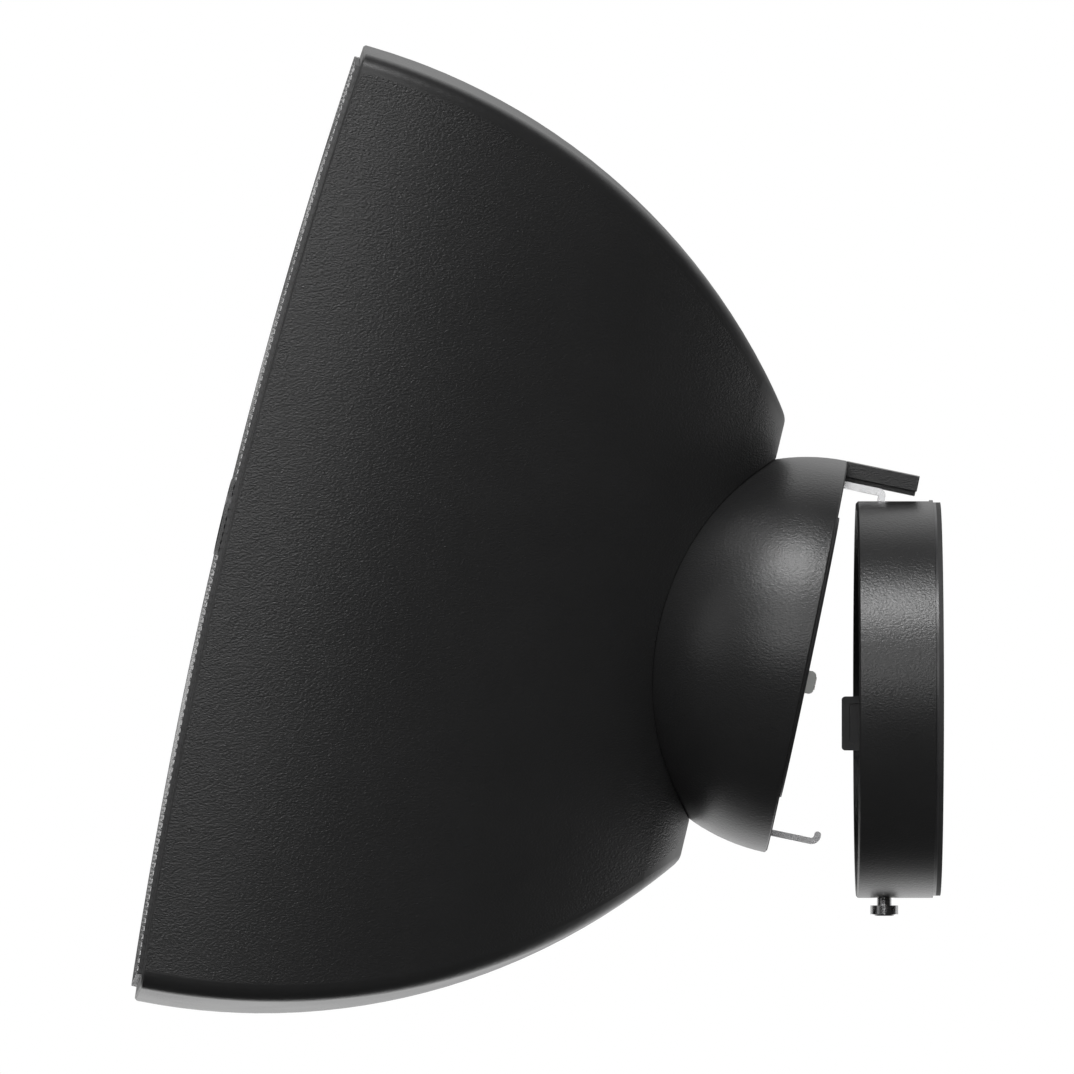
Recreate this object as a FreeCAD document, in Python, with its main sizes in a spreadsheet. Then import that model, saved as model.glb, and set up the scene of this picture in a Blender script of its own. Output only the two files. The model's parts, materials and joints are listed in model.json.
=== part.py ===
"""Wall loudspeaker that hooks onto a round base and aims on a ball, shown while it is being hung.

The origin is the middle of the face that lies on the wall, +X points into the wall and +Z is up.
Lengths are in millimetres and angles in degrees.
"""
import FreeCAD
import Part
import math
import os
import types

import Sketcher

SIZES = {
    # Wall base: a drum-shaped cup on a steel plate and a rubber gasket
    "base_radius": 71.6,
    "cup_depth": 27.5,
    "cup_wall": 3.0,
    "cup_floor": 2.0,
    "cup_edge": 0.6,
    "plate_setback": 0.8,
    "plate_thickness": 1.0,
    "gasket_thickness": 1.7,
    "cable_hole_radius": 18.0,
    "wall_screw_inset": 19.6,
    "wall_screw_radius": 2.75,
    "wall_screw_angle": 45.0,
    "base_screw_inset": 9.6,
    "base_screw_angle": 20.0,
    # Hook bracket inside the cup
    "bracket_cheek": 2.4,
    "bracket_foot": 2.0,
    "bracket_drop": 16.0,
    "bracket_side": 0.8,
    "ramp_clearance": 0.35,
    "ramp_land": 3.2,
    "ramp_depth": 2.4,
    "ramp_hold": 0.2,
    "bracket_screw_drop": 8.0,
    "bracket_screw_spread": 3.5,
    # Contact socket and terminal block inside the cup
    "socket_out": 5.1,
    "socket_height": 19.4,
    "socket_width": 16.0,
    "socket_drop": 8.8,
    "socket_round": 1.2,
    "socket_panel": 0.4,
    "socket_panel_edge": 2.6,
    "plug_clearance": 0.5,
    "contact_thickness": 0.7,
    "contact_width": 2.2,
    "contact_height": 6.0,
    "contact_pitch": 4.6,
    "terminal_width": 12.0,
    "terminal_height": 24.0,
    "terminal_depth": 11.0,
    "terminal_offset": 36.0,
    "terminal_pitch": 9.0,
    "terminal_port": 4.4,
    # Thumbscrew under the cup
    "thumb_setback": 10.1,
    "thumb_radius": 2.6,
    "thumb_head_radius": 5.0,
    "thumb_head_height": 3.7,
    "thumb_travel": 2.7,
    "thumb_reach": 5.0,
    "thumb_edge": 0.5,
    "thumb_key": 1.5,
    "thumb_key_depth": 2.0,
    "insert_wall": 1.9,
    "insert_reach": 2.0,
    "insert_setback": 0.5,
    "running_fit": 0.06,
    # Hanging pose of the ball dome, measured from where it seats on the cup
    "seat_gap": 0.8,
    "hang_out": 17.1,
    "hang_rise": 15.2,
    "hang_tilt": 11.8,
    # Ball dome
    "dome_over": 0.4,
    "dome_wall": 3.0,
    "dome_edge": 0.6,
    "dome_shoulder": 2.4,
    "window_width": 54.0,
    "window_height": 44.0,
    "window_round": 6.0,
    "post_radius": 3.5,
    "post_inset": 12.0,
    "post_angle": 45.0,
    "chassis_depth": 1.2,
    "chassis_thickness": 2.0,
    "chassis_proud": 1.4,
    "chassis_disc_inset": 20.6,
    "recess_depth": 16.0,
    "recess_wall": 1.5,
    "recess_side": 2.0,
    "recess_above": 1.6,
    "recess_below": 5.2,
    "seal_width": 1.5,
    "seal_inset": 0.8,
    "seal_proud": 0.3,
    "tongue_width": 16.4,
    "tongue_length": 26.6,
    "tongue_thickness": 5.3,
    "rib_width": 12.0,
    "rib_depth": 2.1,
    "rib_setback": 0.4,
    "rib_root": 0.8,
    "notch_clearance": 0.5,
    "strap_thickness": 2.5,
    "strap_width": 12.0,
    "strap_reach": 16.0,
    "strap_foot": 8.0,
    "latch_thickness": 2.3,
    "latch_width": 12.0,
    "latch_inset": 6.3,
    "latch_reach": 18.2,
    "latch_lip": 5.0,
    "latch_foot": 9.0,
    "latch_bend": 3.4,
    "latch_hole": 3.4,
    "slot_clearance": 0.3,
    "plug_height": 8.3,
    "plug_width": 8.0,
    "plug_out": 4.9,
    "plug_round": 1.8,
    "plug_contact": 0.3,
    # Ball clamp
    "clamp_clearance": 0.3,
    "saddle_wall": 4.0,
    "saddle_width": 80.0,
    "saddle_height": 56.0,
    "slot_height": 41.0,
    "bolt_radius": 4.0,
    "bolt_clearance": 0.4,
    "bolt_head_flats": 13.0,
    "bolt_head_height": 5.5,
    "bolt_length": 31.0,
    "washer_radius": 12.0,
    "washer_thickness": 3.4,
    "clamp_insert_radius": 8.0,
    "clamp_insert_length": 16.0,
    "clamp_boss_radius": 13.0,
    "clamp_boss_cover": 2.5,
    "fit_clearance": 0.05,
    # Cabinet
    "aim_tilt": 13.5,
    "cabinet_height": 353.4,
    "cabinet_width": 223.0,
    "cabinet_depth": 186.5,
    "ball_setback": 27.3,
    "back_height": 163.6,
    "nose_radius": 47.3,
    "crown_radius": 953.0,
    "front_radius": 2000.0,
    "cabinet_wall": 4.5,
    "edge_round": 6.5,
    "front_bevel": 0.7,
    "socket_clearance": 0.3,
    "socket_wall": 4.0,
    "gland_clearance": 0.5,
    "gland_radius": 5.0,
    "gland_bore": 2.8,
    "gland_flange": 1.2,
    # Front: grille, badge and baffle
    "grille_proud": 1.9,
    "grille_sheet": 1.0,
    "grille_clearance": 0.4,
    "hole_radius": 4.2,
    "hole_pitch": 23.0,
    "badge_radius": 14.0,
    "badge_thickness": 1.4,
    "badge_edge": 0.5,
    "baffle_setback": 14.0,
    "baffle_thickness": 8.0,
    "baffle_gasket": 1.5,
    "ledge_width": 10.0,
    "ledge_thickness": 9.0,
    "baffle_screw_inset": 6.0,
    "baffle_screw_end": 31.0,
    # Woofer
    "woofer_radius": 84.0,
    "woofer_flange": 3.0,
    "woofer_cutout": 74.0,
    "woofer_screw_circle": 80.0,
    "woofer_screw_angle": 15.0,
    "basket_depth": 48.0,
    "basket_wall": 2.5,
    "basket_plate": 3.0,
    "basket_window": 17.0,
    "magnet_radius": 45.0,
    "magnet_bore": 22.0,
    "magnet_thickness": 18.0,
    "top_plate_thickness": 6.0,
    "yoke_thickness": 6.0,
    "pole_radius": 15.0,
    "pole_vent": 5.0,
    "coil_gap": 0.6,
    "coil_wall": 0.8,
    "coil_length": 30.0,
    "cone_radius": 62.0,
    "cone_depth": 27.0,
    "cone_thickness": 0.8,
    "cap_radius": 24.0,
    "cap_rise": 6.0,
    "roll_radius": 4.0,
    "roll_thickness": 0.8,
    "moving_gap": 0.3,
    "spider_setback": 40.0,
    "spider_thickness": 0.6,
    "spider_wave": 1.6,
    # Tweeter
    "tweeter_radius": 52.0,
    "tweeter_plate": 3.0,
    "tweeter_mouth": 45.0,
    "tweeter_throat": 14.0,
    "tweeter_horn": 10.0,
    "tweeter_wall": 2.2,
    "tweeter_curve": 45.0,
    "tweeter_cutout": 44.0,
    "tweeter_screw_circle": 48.5,
    "tweeter_screw_angle": 45.0,
    "tweeter_motor_radius": 36.0,
    "tweeter_motor_length": 23.0,
    "tweeter_dome_rise": 5.0,
    "tweeter_dome_sheet": 0.6,
    # Reflex ports
    "port_rise": 33.9,
    "port_gap": 1.6,
    "port_radius": 11.5,
    "port_wall": 2.0,
    "port_length": 50.0,
    "port_lip": 3.0,
    "port_lip_thickness": 2.0,
    # Crossover
    "board_inset": 39.5,
    "board_drop": 76.7,
    "board_width": 44.0,
    "board_height": 80.0,
    "board_thickness": 1.6,
    "standoff_length": 8.0,
    "standoff_radius": 3.0,
    "standoff_inset": 4.5,
    "inductor_radius": 12.0,
    "inductor_bore": 5.0,
    "inductor_length": 12.0,
    "inductor_pitch": 27.0,
    "inductor_rise": 12.0,
    "capacitor_radius": 4.5,
    "capacitor_length": 28.0,
    "capacitor_pitch": 11.0,
    "capacitor_rise": 28.0,
    # Screws
    "screw_radius": 1.5,
    "screw_head_radius": 3.0,
    "screw_head_height": 1.6,
    "screw_length": 12.0,
    "screw_clearance": 0.05,
}

WALL_SCREWS = 4
CHASSIS_POSTS = 4
WOOFER_SCREWS = 6
BASKET_WINDOWS = 6
TWEETER_SCREWS = 4
SPIDER_WAVES = 4
BAFFLE_SCREW_GAPS = 3
DRIVER_GAPS = 3
# The two sides of a mirrored pair
SIDES = (-1, 1)
QUARTER_TURN = 90
HALF_TURN = 180
FULL_TURN = 360
# Half the angle that one side of a hexagon spans
HEXAGON_ANGLE = 30
# How far a cutter runs past the solid that it cuts
OVERRUN = 10.0
# Lengths closer than this count as equal
CLOSE = 1e-3

UP = FreeCAD.Vector(0, 0, 1)
ACROSS = FreeCAD.Vector(0, 1, 0)
# Turns a primitive's own axis from +Z to +X
ALONG_X = FreeCAD.Rotation(ACROSS, QUARTER_TURN)


class Size:
    """A length worked out from the sheet: its value now, and the expression that keeps it tied."""

    def __init__(self, value, text):
        self.value = float(value)
        self.text = text

    def __add__(self, other):
        other = as_size(other)
        return Size(self.value + other.value, f"({self.text} + {other.text})")

    def __sub__(self, other):
        other = as_size(other)
        return Size(self.value - other.value, f"({self.text} - {other.text})")

    def __mul__(self, other):
        other = as_size(other)
        return Size(self.value * other.value, f"({self.text} * {other.text})")

    def __truediv__(self, other):
        other = as_size(other)
        return Size(self.value / other.value, f"({self.text} / {other.text})")

    def __neg__(self):
        return Size(-self.value, f"(-1 * {self.text})")


def as_size(number):
    return number if isinstance(number, Size) else Size(number, str(number))


def root(size):
    return Size(math.sqrt(size.value), f"sqrt({size.text})")


def sine(angle):
    return Size(math.sin(math.radians(angle.value)), f"sin({angle.text})")


def cosine(angle):
    return Size(math.cos(math.radians(angle.value)), f"cos({angle.text})")


def leg(long_side, short_side):
    """The other side of a right triangle, such as a sphere's depth at a given radius."""
    return root(long_side * long_side - short_side * short_side)


def hypotenuse(one_side, other_side):
    return root(one_side * one_side + other_side * other_side)


ZERO = as_size(0)

doc = FreeCAD.newDocument("wall_speaker")


def size_sheet():
    """Writes the driving dimensions into the sheet and returns them by name."""
    sheet = doc.addObject("Spreadsheet::Sheet", "sizes")
    for row, (name, value) in enumerate(SIZES.items(), start=1):
        sheet.set(f"A{row}", name)
        sheet.set(f"B{row}", str(value))
        sheet.setAlias(f"B{row}", name)
    doc.recompute()
    return types.SimpleNamespace(**{name: Size(value, f"sizes.{name}") for name, value in SIZES.items()})


S = size_sheet()
PIECES = []


def bind(item, **sizes):
    for name, size in sizes.items():
        item.setExpression(name, as_size(size).text)
    return item


def shift(item, x=ZERO, y=ZERO, z=ZERO):
    for axis, size in zip("xyz", (x, y, z)):
        item.setExpression(f"Placement.Base.{axis}", as_size(size).text)
    return item


class Frame:
    """A frame on the ball's centre, tilted about the Y axis, that pieces are carried into."""

    def __init__(self, x, z, tilt):
        self.x = x
        self.z = z
        self.tilt = tilt

    def carry(self, item, along=ZERO, across=ZERO, up=ZERO):
        item.Placement = FreeCAD.Placement(FreeCAD.Vector(), FreeCAD.Rotation(ACROSS, self.tilt.value))
        x = self.x + along * cosine(self.tilt) + up * sine(self.tilt)
        z = self.z - along * sine(self.tilt) + up * cosine(self.tilt)
        shift(item, x, across, z)
        item.setExpression("Placement.Rotation.Angle", self.tilt.text)


def finish(item, label, frame=None, **place):
    """Names a finished sub-part and carries it into its frame."""
    item.Label = label
    if frame:
        frame.carry(item, **place)
    PIECES.append(item)
    return item


# Sketches and PartDesign features

def new_body():
    return doc.addObject("PartDesign::Body", "body")


def plane(body, role):
    return next(item for item in body.Origin.OriginFeatures if item.Role == role)


def hold(sketch, kind, places, size):
    """Adds a dimension to the sketch and ties it to its expression."""
    index = sketch.addConstraint(Sketcher.Constraint(kind, *places, size.value))
    name = f"size_{index}"
    sketch.renameConstraint(index, name)
    sketch.setExpression(f"Constraints.{name}", size.text)


def pin(sketch, geometry, vertex, x, y):
    for kind, axis, size in (("DistanceX", -2, as_size(x)), ("DistanceY", -1, as_size(y))):
        if size.text == ZERO.text:
            sketch.addConstraint(Sketcher.Constraint("PointOnObject", geometry, vertex, axis))
        else:
            hold(sketch, kind, (-1, 1, geometry, vertex), size)


def point(corner):
    return FreeCAD.Vector(as_size(corner[0]).value, as_size(corner[1]).value, 0)


def arc_between(start, end, radius):
    """The shorter arc from start to end, counter-clockwise for a positive radius."""
    if radius < 0:
        return arc_between(end, start, -radius)
    chord = end - start
    middle = (start + end) * 0.5
    rise = math.sqrt(max(radius**2 - (chord.Length / 2) ** 2, 0))
    centre = middle + UP.cross(chord).normalize() * rise
    first, last = (math.atan2(tip.y - centre.y, tip.x - centre.x) for tip in (start, end))
    return Part.ArcOfCircle(Part.Circle(centre, UP, radius), first, last)


def outline(sketch, corners):
    """Draws a closed outline. A corner is (x, y), or (x, y, radius) where an arc leaves it."""
    ends = []
    for index, corner in enumerate(corners):
        start = point(corner)
        end = point(corners[(index + 1) % len(corners)])
        if len(corner) == 2:
            ends.append((sketch.addGeometry(Part.LineSegment(start, end)), 1, 2))
            continue
        radius = as_size(corner[2])
        geometry = sketch.addGeometry(arc_between(start, end, radius.value))
        ends.append((geometry, 1, 2) if radius.value > 0 else (geometry, 2, 1))
    for index, corner in enumerate(corners):
        geometry, start_vertex, _ = ends[index]
        previous, _, end_vertex = ends[index - 1]
        meeting = Sketcher.Constraint("Coincident", previous, end_vertex, geometry, start_vertex)
        sketch.addConstraint(meeting)
        pin(sketch, geometry, start_vertex, corner[0], corner[1])
        if len(corner) == 3:
            radius = as_size(corner[2])
            hold(sketch, "Radius", (geometry,), radius if radius.value > 0 else -radius)


def circle(sketch, radius, x=ZERO, y=ZERO):
    geometry = sketch.addGeometry(Part.Circle(point((x, y)), UP, as_size(radius).value))
    pin(sketch, geometry, 3, x, y)
    hold(sketch, "Radius", (geometry,), as_size(radius))


def sketch_on(body, role, offset=ZERO):
    sketch = body.newObject("Sketcher::SketchObject", "sketch")
    sketch.AttachmentSupport = [(plane(body, role), "")]
    sketch.MapMode = "FlatFace"
    sketch.setExpression("AttachmentOffset.Base.z", offset.text)
    return sketch


def outline_on(body, role, corners, offset=ZERO):
    sketch = sketch_on(body, role, offset)
    outline(sketch, corners)
    return sketch


def circles_on(body, role, *circles, offset=ZERO):
    sketch = sketch_on(body, role, offset)
    for one in circles:
        circle(sketch, *one)
    return sketch


def rectangle(left, right, low, high):
    return [(left, low), (right, low), (right, high), (left, high)]


def rounded(left, right, low, high, radius):
    """A rectangle with round corners, as outline corners."""
    return [
        (left + radius, low), (right - radius, low, radius),
        (right, low + radius), (right, high - radius, radius),
        (right - radius, high), (left + radius, high, radius),
        (left, high - radius), (left, low + radius, radius),
    ]


def pad(body, sketch, length, symmetric=False, reverse=False):
    feature = body.newObject("PartDesign::Pad", "pad")
    feature.Profile = sketch
    feature.SideType = "Symmetric" if symmetric else "One side"
    feature.Reversed = reverse
    return bind(feature, Length=length)


def pocket(body, sketch, length=None, symmetric=False, reverse=False):
    feature = body.newObject("PartDesign::Pocket", "pocket")
    feature.Profile = sketch
    feature.SideType = "Symmetric" if symmetric else "One side"
    feature.Reversed = reverse
    if length is None:
        feature.Type = "ThroughAll"
        return feature
    return bind(feature, Length=length)


def turned(corners, axis="H_Axis"):
    """A body turned from half a section about its sketch's level axis, or about the upright one."""
    body = new_body()
    sketch = outline_on(body, "XZ_Plane", corners)
    feature = body.newObject("PartDesign::Revolution", "turned")
    feature.Profile = sketch
    feature.ReferenceAxis = (sketch, [axis])
    return body


def repeat_about_x(body, feature, count):
    pattern = body.newObject("PartDesign::PolarPattern", "pattern")
    pattern.Originals = [feature]
    pattern.Axis = (plane(body, "X_Axis"), [""])
    pattern.Occurrences = count
    body.Tip = pattern
    return pattern


def ease(body, kind, size, choose):
    """Fillets or chamfers the edges of the body's last feature that the test chooses."""
    doc.recompute()
    base = body.Tip
    names = [f"Edge{i}" for i, edge in enumerate(base.Shape.Edges, start=1) if choose(edge)]
    feature = body.newObject(f"PartDesign::{kind}", kind.lower())
    feature.Base = (base, names)
    bind(feature, **{"Radius" if kind == "Fillet" else "Size": size})
    body.Tip = feature
    return feature


def on_circle(edge, radius, x):
    """Whether an edge is a circle of this radius about the X axis, at this x."""
    if edge.Degenerated:
        return False
    curve = edge.Curve
    return (
        isinstance(curve, Part.Circle)
        and abs(curve.Radius - radius.value) < CLOSE
        and abs(curve.Center.x - x.value) < CLOSE
        and math.hypot(curve.Center.y, curve.Center.z) < CLOSE
    )


# Part primitives and booleans

def block(left, right, near, far, low, high):
    item = doc.addObject("Part::Box", "block")
    bind(item, Length=right - left, Width=far - near, Height=high - low)
    return shift(item, left, near, low)


def rod(radius, left, right, y=ZERO, z=ZERO):
    """A cylinder along X."""
    item = doc.addObject("Part::Cylinder", "rod")
    item.Placement.Rotation = ALONG_X
    bind(item, Radius=radius, Height=right - left)
    return shift(item, left, y, z)


def ball(radius, x=ZERO):
    item = doc.addObject("Part::Sphere", "ball")
    bind(item, Radius=radius)
    return shift(item, x)


def cut(base, *tools):
    item = doc.addObject("Part::Cut", "cut")
    item.Base = base
    item.Tool = tools[0] if len(tools) == 1 else group(*tools)
    return item


def join(*items):
    item = doc.addObject("Part::MultiFuse", "join")
    item.Shapes = list(items)
    item.Refine = True
    return item


def common(*items):
    item = doc.addObject("Part::MultiCommon", "common")
    item.Shapes = list(items)
    return item


def group(*items):
    item = doc.addObject("Part::Compound", "group")
    item.Links = list(items)
    return item


def screw(seat, y, z, length, towards=1):
    """A screw driven along X, towards 1 or -1, whose head sits on the plane x = seat."""
    head_end = seat - S.screw_head_height * towards
    tip = seat + length * towards
    head = (head_end, seat)[::towards]
    shank = (head_end, tip)[::towards]
    return join(rod(S.screw_head_radius, *head, y, z), rod(S.screw_radius, *shank, y, z))


def screw_hole(left, right, y, z):
    return rod(SCREW_HOLE, left, right, y, z)


def around(circle_radius, angles):
    """Places on a circle in the YZ plane, at the given angles from +Y."""
    return [(circle_radius * cosine(angle), circle_radius * sine(angle)) for angle in angles]


def even_turns(count, start):
    return [start + FULL_TURN / count * step for step in range(count)]


# Wall base

GASKET_FRONT = -S.gasket_thickness
PLATE_FRONT = GASKET_FRONT - S.plate_thickness
FLOOR_FRONT = PLATE_FRONT - S.cup_floor
CUP_FRONT = PLATE_FRONT - S.cup_depth
CUP_INSIDE = S.base_radius - S.cup_wall
PLATE_RADIUS = S.base_radius - S.plate_setback
DOME_RADIUS = S.base_radius + S.dome_over
# The dome's rim plane once it is seated on the cup
SEAT = CUP_FRONT - S.seat_gap
THUMB_X = CUP_FRONT + S.thumb_setback
# Heights of the tongue's rib and of the strap under it, from the dome's axis
RIB_LOW = DOME_RADIUS - S.tongue_thickness - S.rib_depth
STRAP_LOW = RIB_LOW - S.strap_thickness
BASE_SCREW_PLACES = around(
    S.base_radius - S.base_screw_inset,
    [S.base_screw_angle * side + turn for side in SIDES for turn in (0, HALF_TURN)],
)
BRACKET_TOP = STRAP_LOW - S.slot_clearance
# The point that the dome turns about as it swings from where it hangs to its seat
SWING = cosine(S.hang_tilt / 2) / sine(S.hang_tilt / 2) / 2
POLE_X = SEAT - S.hang_out / 2 + S.hang_rise * SWING
POLE_Z = S.hang_rise / 2 + S.hang_out * SWING
# The strap's tab reaches down to the ramp's edge where the dome hangs, and its corner follows the ramp
TAB_FRONT = S.strap_reach - S.strap_thickness
TAB_LOW = (BRACKET_TOP - S.ramp_hold - S.hang_rise + TAB_FRONT * sine(S.hang_tilt)) / cosine(S.hang_tilt)
RAMP_SWEEP = hypotenuse(POLE_X - SEAT - TAB_FRONT, POLE_Z - TAB_LOW) + S.ramp_clearance
BRACKET_SCREW_PLACES = [
    (S.bracket_screw_spread * side, BRACKET_TOP - S.bracket_screw_drop) for side in SIDES
]
SCREW_HOLE = S.screw_radius + S.screw_clearance
WALL_SCREW_HOLES = [
    (S.wall_screw_radius, y, z)
    for y, z in around(S.base_radius - S.wall_screw_inset, even_turns(WALL_SCREWS, S.wall_screw_angle))
]
FLOOR_SCREW_HOLES = [(SCREW_HOLE, y, z) for y, z in BASE_SCREW_PLACES + BRACKET_SCREW_PLACES]


def wall_disc(label, front, thickness, *more_holes):
    """A flat disc of the base's stack, with the cable hole and the wall screw holes."""
    body = new_body()
    circles = [(PLATE_RADIUS,), (S.cable_hole_radius,), *WALL_SCREW_HOLES, *more_holes]
    pad(body, circles_on(body, "YZ_Plane", *circles, offset=front), thickness)
    finish(body, label)


def base_plates():
    wall_disc("wall_gasket", GASKET_FRONT, S.gasket_thickness)
    wall_disc("base_backplate", PLATE_FRONT, S.plate_thickness, *FLOOR_SCREW_HOLES)


def base_cup():
    body = turned([
        (CUP_FRONT, CUP_INSIDE), (CUP_FRONT, S.base_radius), (PLATE_FRONT, S.base_radius),
        (PLATE_FRONT, S.cable_hole_radius), (FLOOR_FRONT, S.cable_hole_radius), (FLOOR_FRONT, CUP_INSIDE),
    ])
    ease(body, "Chamfer", S.cup_edge, lambda edge: on_circle(edge, S.base_radius, CUP_FRONT))
    pocket(body, circles_on(body, "YZ_Plane", *WALL_SCREW_HOLES, *FLOOR_SCREW_HOLES, offset=PLATE_FRONT))
    half = S.tongue_width / 2 + S.notch_clearance
    notch = rectangle(CUP_FRONT - OVERRUN, SEAT + S.tongue_length + S.notch_clearance, -half, half)
    pocket(body, outline_on(body, "XY_Plane", notch, RIB_LOW - S.notch_clearance), reverse=True)
    insert = S.thumb_radius + S.insert_wall + S.fit_clearance
    pocket(body, circles_on(body, "XY_Plane", (insert, THUMB_X)))
    finish(body, "base_cup")


def base_fasteners():
    floor_length = S.cup_floor + S.plate_thickness
    finish(group(*(screw(FLOOR_FRONT, y, z, floor_length) for y, z in BASE_SCREW_PLACES)), "base_screws")
    foot_front = FLOOR_FRONT - S.bracket_foot
    foot_length = S.bracket_foot + floor_length
    screws = group(*(screw(foot_front, y, z, foot_length) for y, z in BRACKET_SCREW_PLACES))
    finish(screws, "hook_bracket_screws")


def hook_bracket():
    """The ramp behind which the strap's tab drops, between two cheeks on a foot."""
    body = new_body()
    inside = S.strap_width / 2 + S.bracket_side
    width = (inside + S.bracket_cheek) * 2
    ramp_foot = TAB_LOW - S.ramp_clearance
    ramp_low = ramp_foot - S.ramp_depth
    ramp_back = POLE_X - leg(RAMP_SWEEP, POLE_Z - ramp_foot)
    ramp_edge = POLE_X - leg(RAMP_SWEEP, POLE_Z - BRACKET_TOP)
    ramp_front = ramp_edge - S.ramp_land
    ramp = [
        (ramp_front, ramp_low), (ramp_back, ramp_low), (ramp_back, ramp_foot, -RAMP_SWEEP),
        (ramp_edge, BRACKET_TOP), (ramp_front, BRACKET_TOP),
    ]
    pad(body, outline_on(body, "XZ_Plane", ramp), width, symmetric=True)
    foot_low = BRACKET_TOP - S.bracket_drop
    foot = rectangle(FLOOR_FRONT - S.bracket_foot, FLOOR_FRONT, foot_low, BRACKET_TOP)
    pad(body, outline_on(body, "XZ_Plane", foot), width, symmetric=True)
    cheek = [
        (ramp_front, ramp_low), (ramp_back, ramp_low), (FLOOR_FRONT, foot_low),
        (FLOOR_FRONT, BRACKET_TOP), (ramp_front, BRACKET_TOP),
    ]
    side = pad(body, outline_on(body, "XZ_Plane", cheek, inside), S.bracket_cheek)
    mirror = body.newObject("PartDesign::Mirrored", "mirror")
    mirror.Originals = [side]
    mirror.MirrorPlane = (plane(body, "XZ_Plane"), [""])
    body.Tip = mirror
    holes = [(SCREW_HOLE, y, z) for y, z in BRACKET_SCREW_PLACES]
    pocket(body, circles_on(body, "YZ_Plane", *holes, offset=FLOOR_FRONT), S.bracket_foot)
    finish(body, "hook_bracket")


CONTACT_PLACES = [S.contact_pitch / 2 * side for side in SIDES]
CHANNEL_HALF = S.plug_width / 2 + S.plug_clearance
CHANNEL_LOW = -S.socket_drop - S.plug_height / 2 - S.plug_clearance
CHANNEL_END = SEAT + S.plug_out + S.plug_contact + S.plug_clearance + S.contact_thickness


def socket_housing():
    """A contact block whose channel is open to the front and the top, where the plug drops in."""
    front = CUP_FRONT - S.socket_out
    low = -S.socket_drop - S.socket_height / 2
    high = low + S.socket_height
    body = new_body()
    side = [
        (front + S.socket_round, low), (FLOOR_FRONT, low), (FLOOR_FRONT, high),
        (front + S.socket_round, high, S.socket_round), (front, high - S.socket_round),
        (front, low + S.socket_round, S.socket_round),
    ]
    pad(body, outline_on(body, "XZ_Plane", side), S.socket_width, symmetric=True)
    panel = rounded(
        front + S.socket_panel_edge, FLOOR_FRONT - S.socket_panel_edge,
        low + S.socket_panel_edge, high - S.socket_panel_edge, S.socket_round,
    )
    face = S.socket_width / 2 - S.socket_panel
    cutter = pocket(body, outline_on(body, "XZ_Plane", panel, face), S.socket_panel, reverse=True)
    mirror = body.newObject("PartDesign::Mirrored", "mirror")
    mirror.Originals = [cutter]
    mirror.MirrorPlane = (plane(body, "XZ_Plane"), [""])
    body.Tip = mirror
    channel = rectangle(front - OVERRUN, CHANNEL_END, CHANNEL_LOW, high + OVERRUN)
    pocket(body, outline_on(body, "XZ_Plane", channel), CHANNEL_HALF * 2, symmetric=True)
    finish(body, "socket_housing")
    leaves = [
        block(CHANNEL_END - S.contact_thickness, CHANNEL_END,
              y - S.contact_width / 2, y + S.contact_width / 2,
              CHANNEL_LOW, CHANNEL_LOW + S.contact_height)
        for y in CONTACT_PLACES
    ]
    finish(group(*leaves), "socket_contacts")


def terminal_block():
    """The block that takes the wall cable: two wire ports and a screw over each."""
    front = FLOOR_FRONT - S.terminal_depth
    near = S.terminal_offset - S.terminal_width / 2
    body = new_body()
    face = rectangle(near, near + S.terminal_width, -S.terminal_height / 2, S.terminal_height / 2)
    pad(body, outline_on(body, "YZ_Plane", face, front), S.terminal_depth)
    levels = [S.terminal_pitch / 2 * side for side in SIDES]
    middle = FLOOR_FRONT - S.terminal_depth / 2
    ports = [(S.terminal_port / 2, middle, level) for level in levels]
    pocket(body, circles_on(body, "XZ_Plane", *ports, offset=-near), S.terminal_width / 2)
    wells = [(S.terminal_port / 2, S.terminal_offset, level) for level in levels]
    pocket(body, circles_on(body, "YZ_Plane", *wells, offset=front), S.terminal_port / 2, reverse=True)
    finish(body, "terminal_block")
    heads = [
        rod(S.terminal_port / 2 - S.fit_clearance, front + S.screw_clearance, front + S.terminal_port / 2,
            S.terminal_offset, level)
        for level in levels
    ]
    finish(group(*heads), "terminal_screws")


def hexagon(apothem):
    side = apothem / cosine(as_size(HEXAGON_ANGLE))
    half = side / 2
    return [
        (side, ZERO), (half, apothem), (-half, apothem), (-side, ZERO), (-half, -apothem), (half, -apothem),
    ]


def thumbscrew():
    head_top = -S.base_radius - S.thumb_travel
    head_low = head_top - S.thumb_head_height
    tip = -S.base_radius + S.thumb_reach
    body = turned([
        (ZERO, head_low), (S.thumb_head_radius - S.thumb_edge, head_low),
        (S.thumb_head_radius, head_low + S.thumb_edge), (S.thumb_head_radius, head_top),
        (S.thumb_radius, head_top), (S.thumb_radius, tip - S.thumb_edge),
        (S.thumb_radius - S.thumb_edge, tip), (ZERO, tip),
    ], "V_Axis")
    key = outline_on(body, "XY_Plane", hexagon(S.thumb_key), head_low)
    pocket(body, key, S.thumb_key_depth, reverse=True)
    finish(shift(body, THUMB_X), "thumbscrew")
    bore = S.thumb_radius + S.running_fit
    outside = S.thumb_radius + S.insert_wall
    low = -S.base_radius + S.insert_setback
    high = -CUP_INSIDE + S.insert_reach
    insert = turned([(bore, low), (outside, low), (outside, high), (bore, high)], "V_Axis")
    finish(shift(insert, THUMB_X), "thumbscrew_insert")


# Ball dome, in its own frame: the ball's centre is the origin and the rim plane is x = 0

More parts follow.
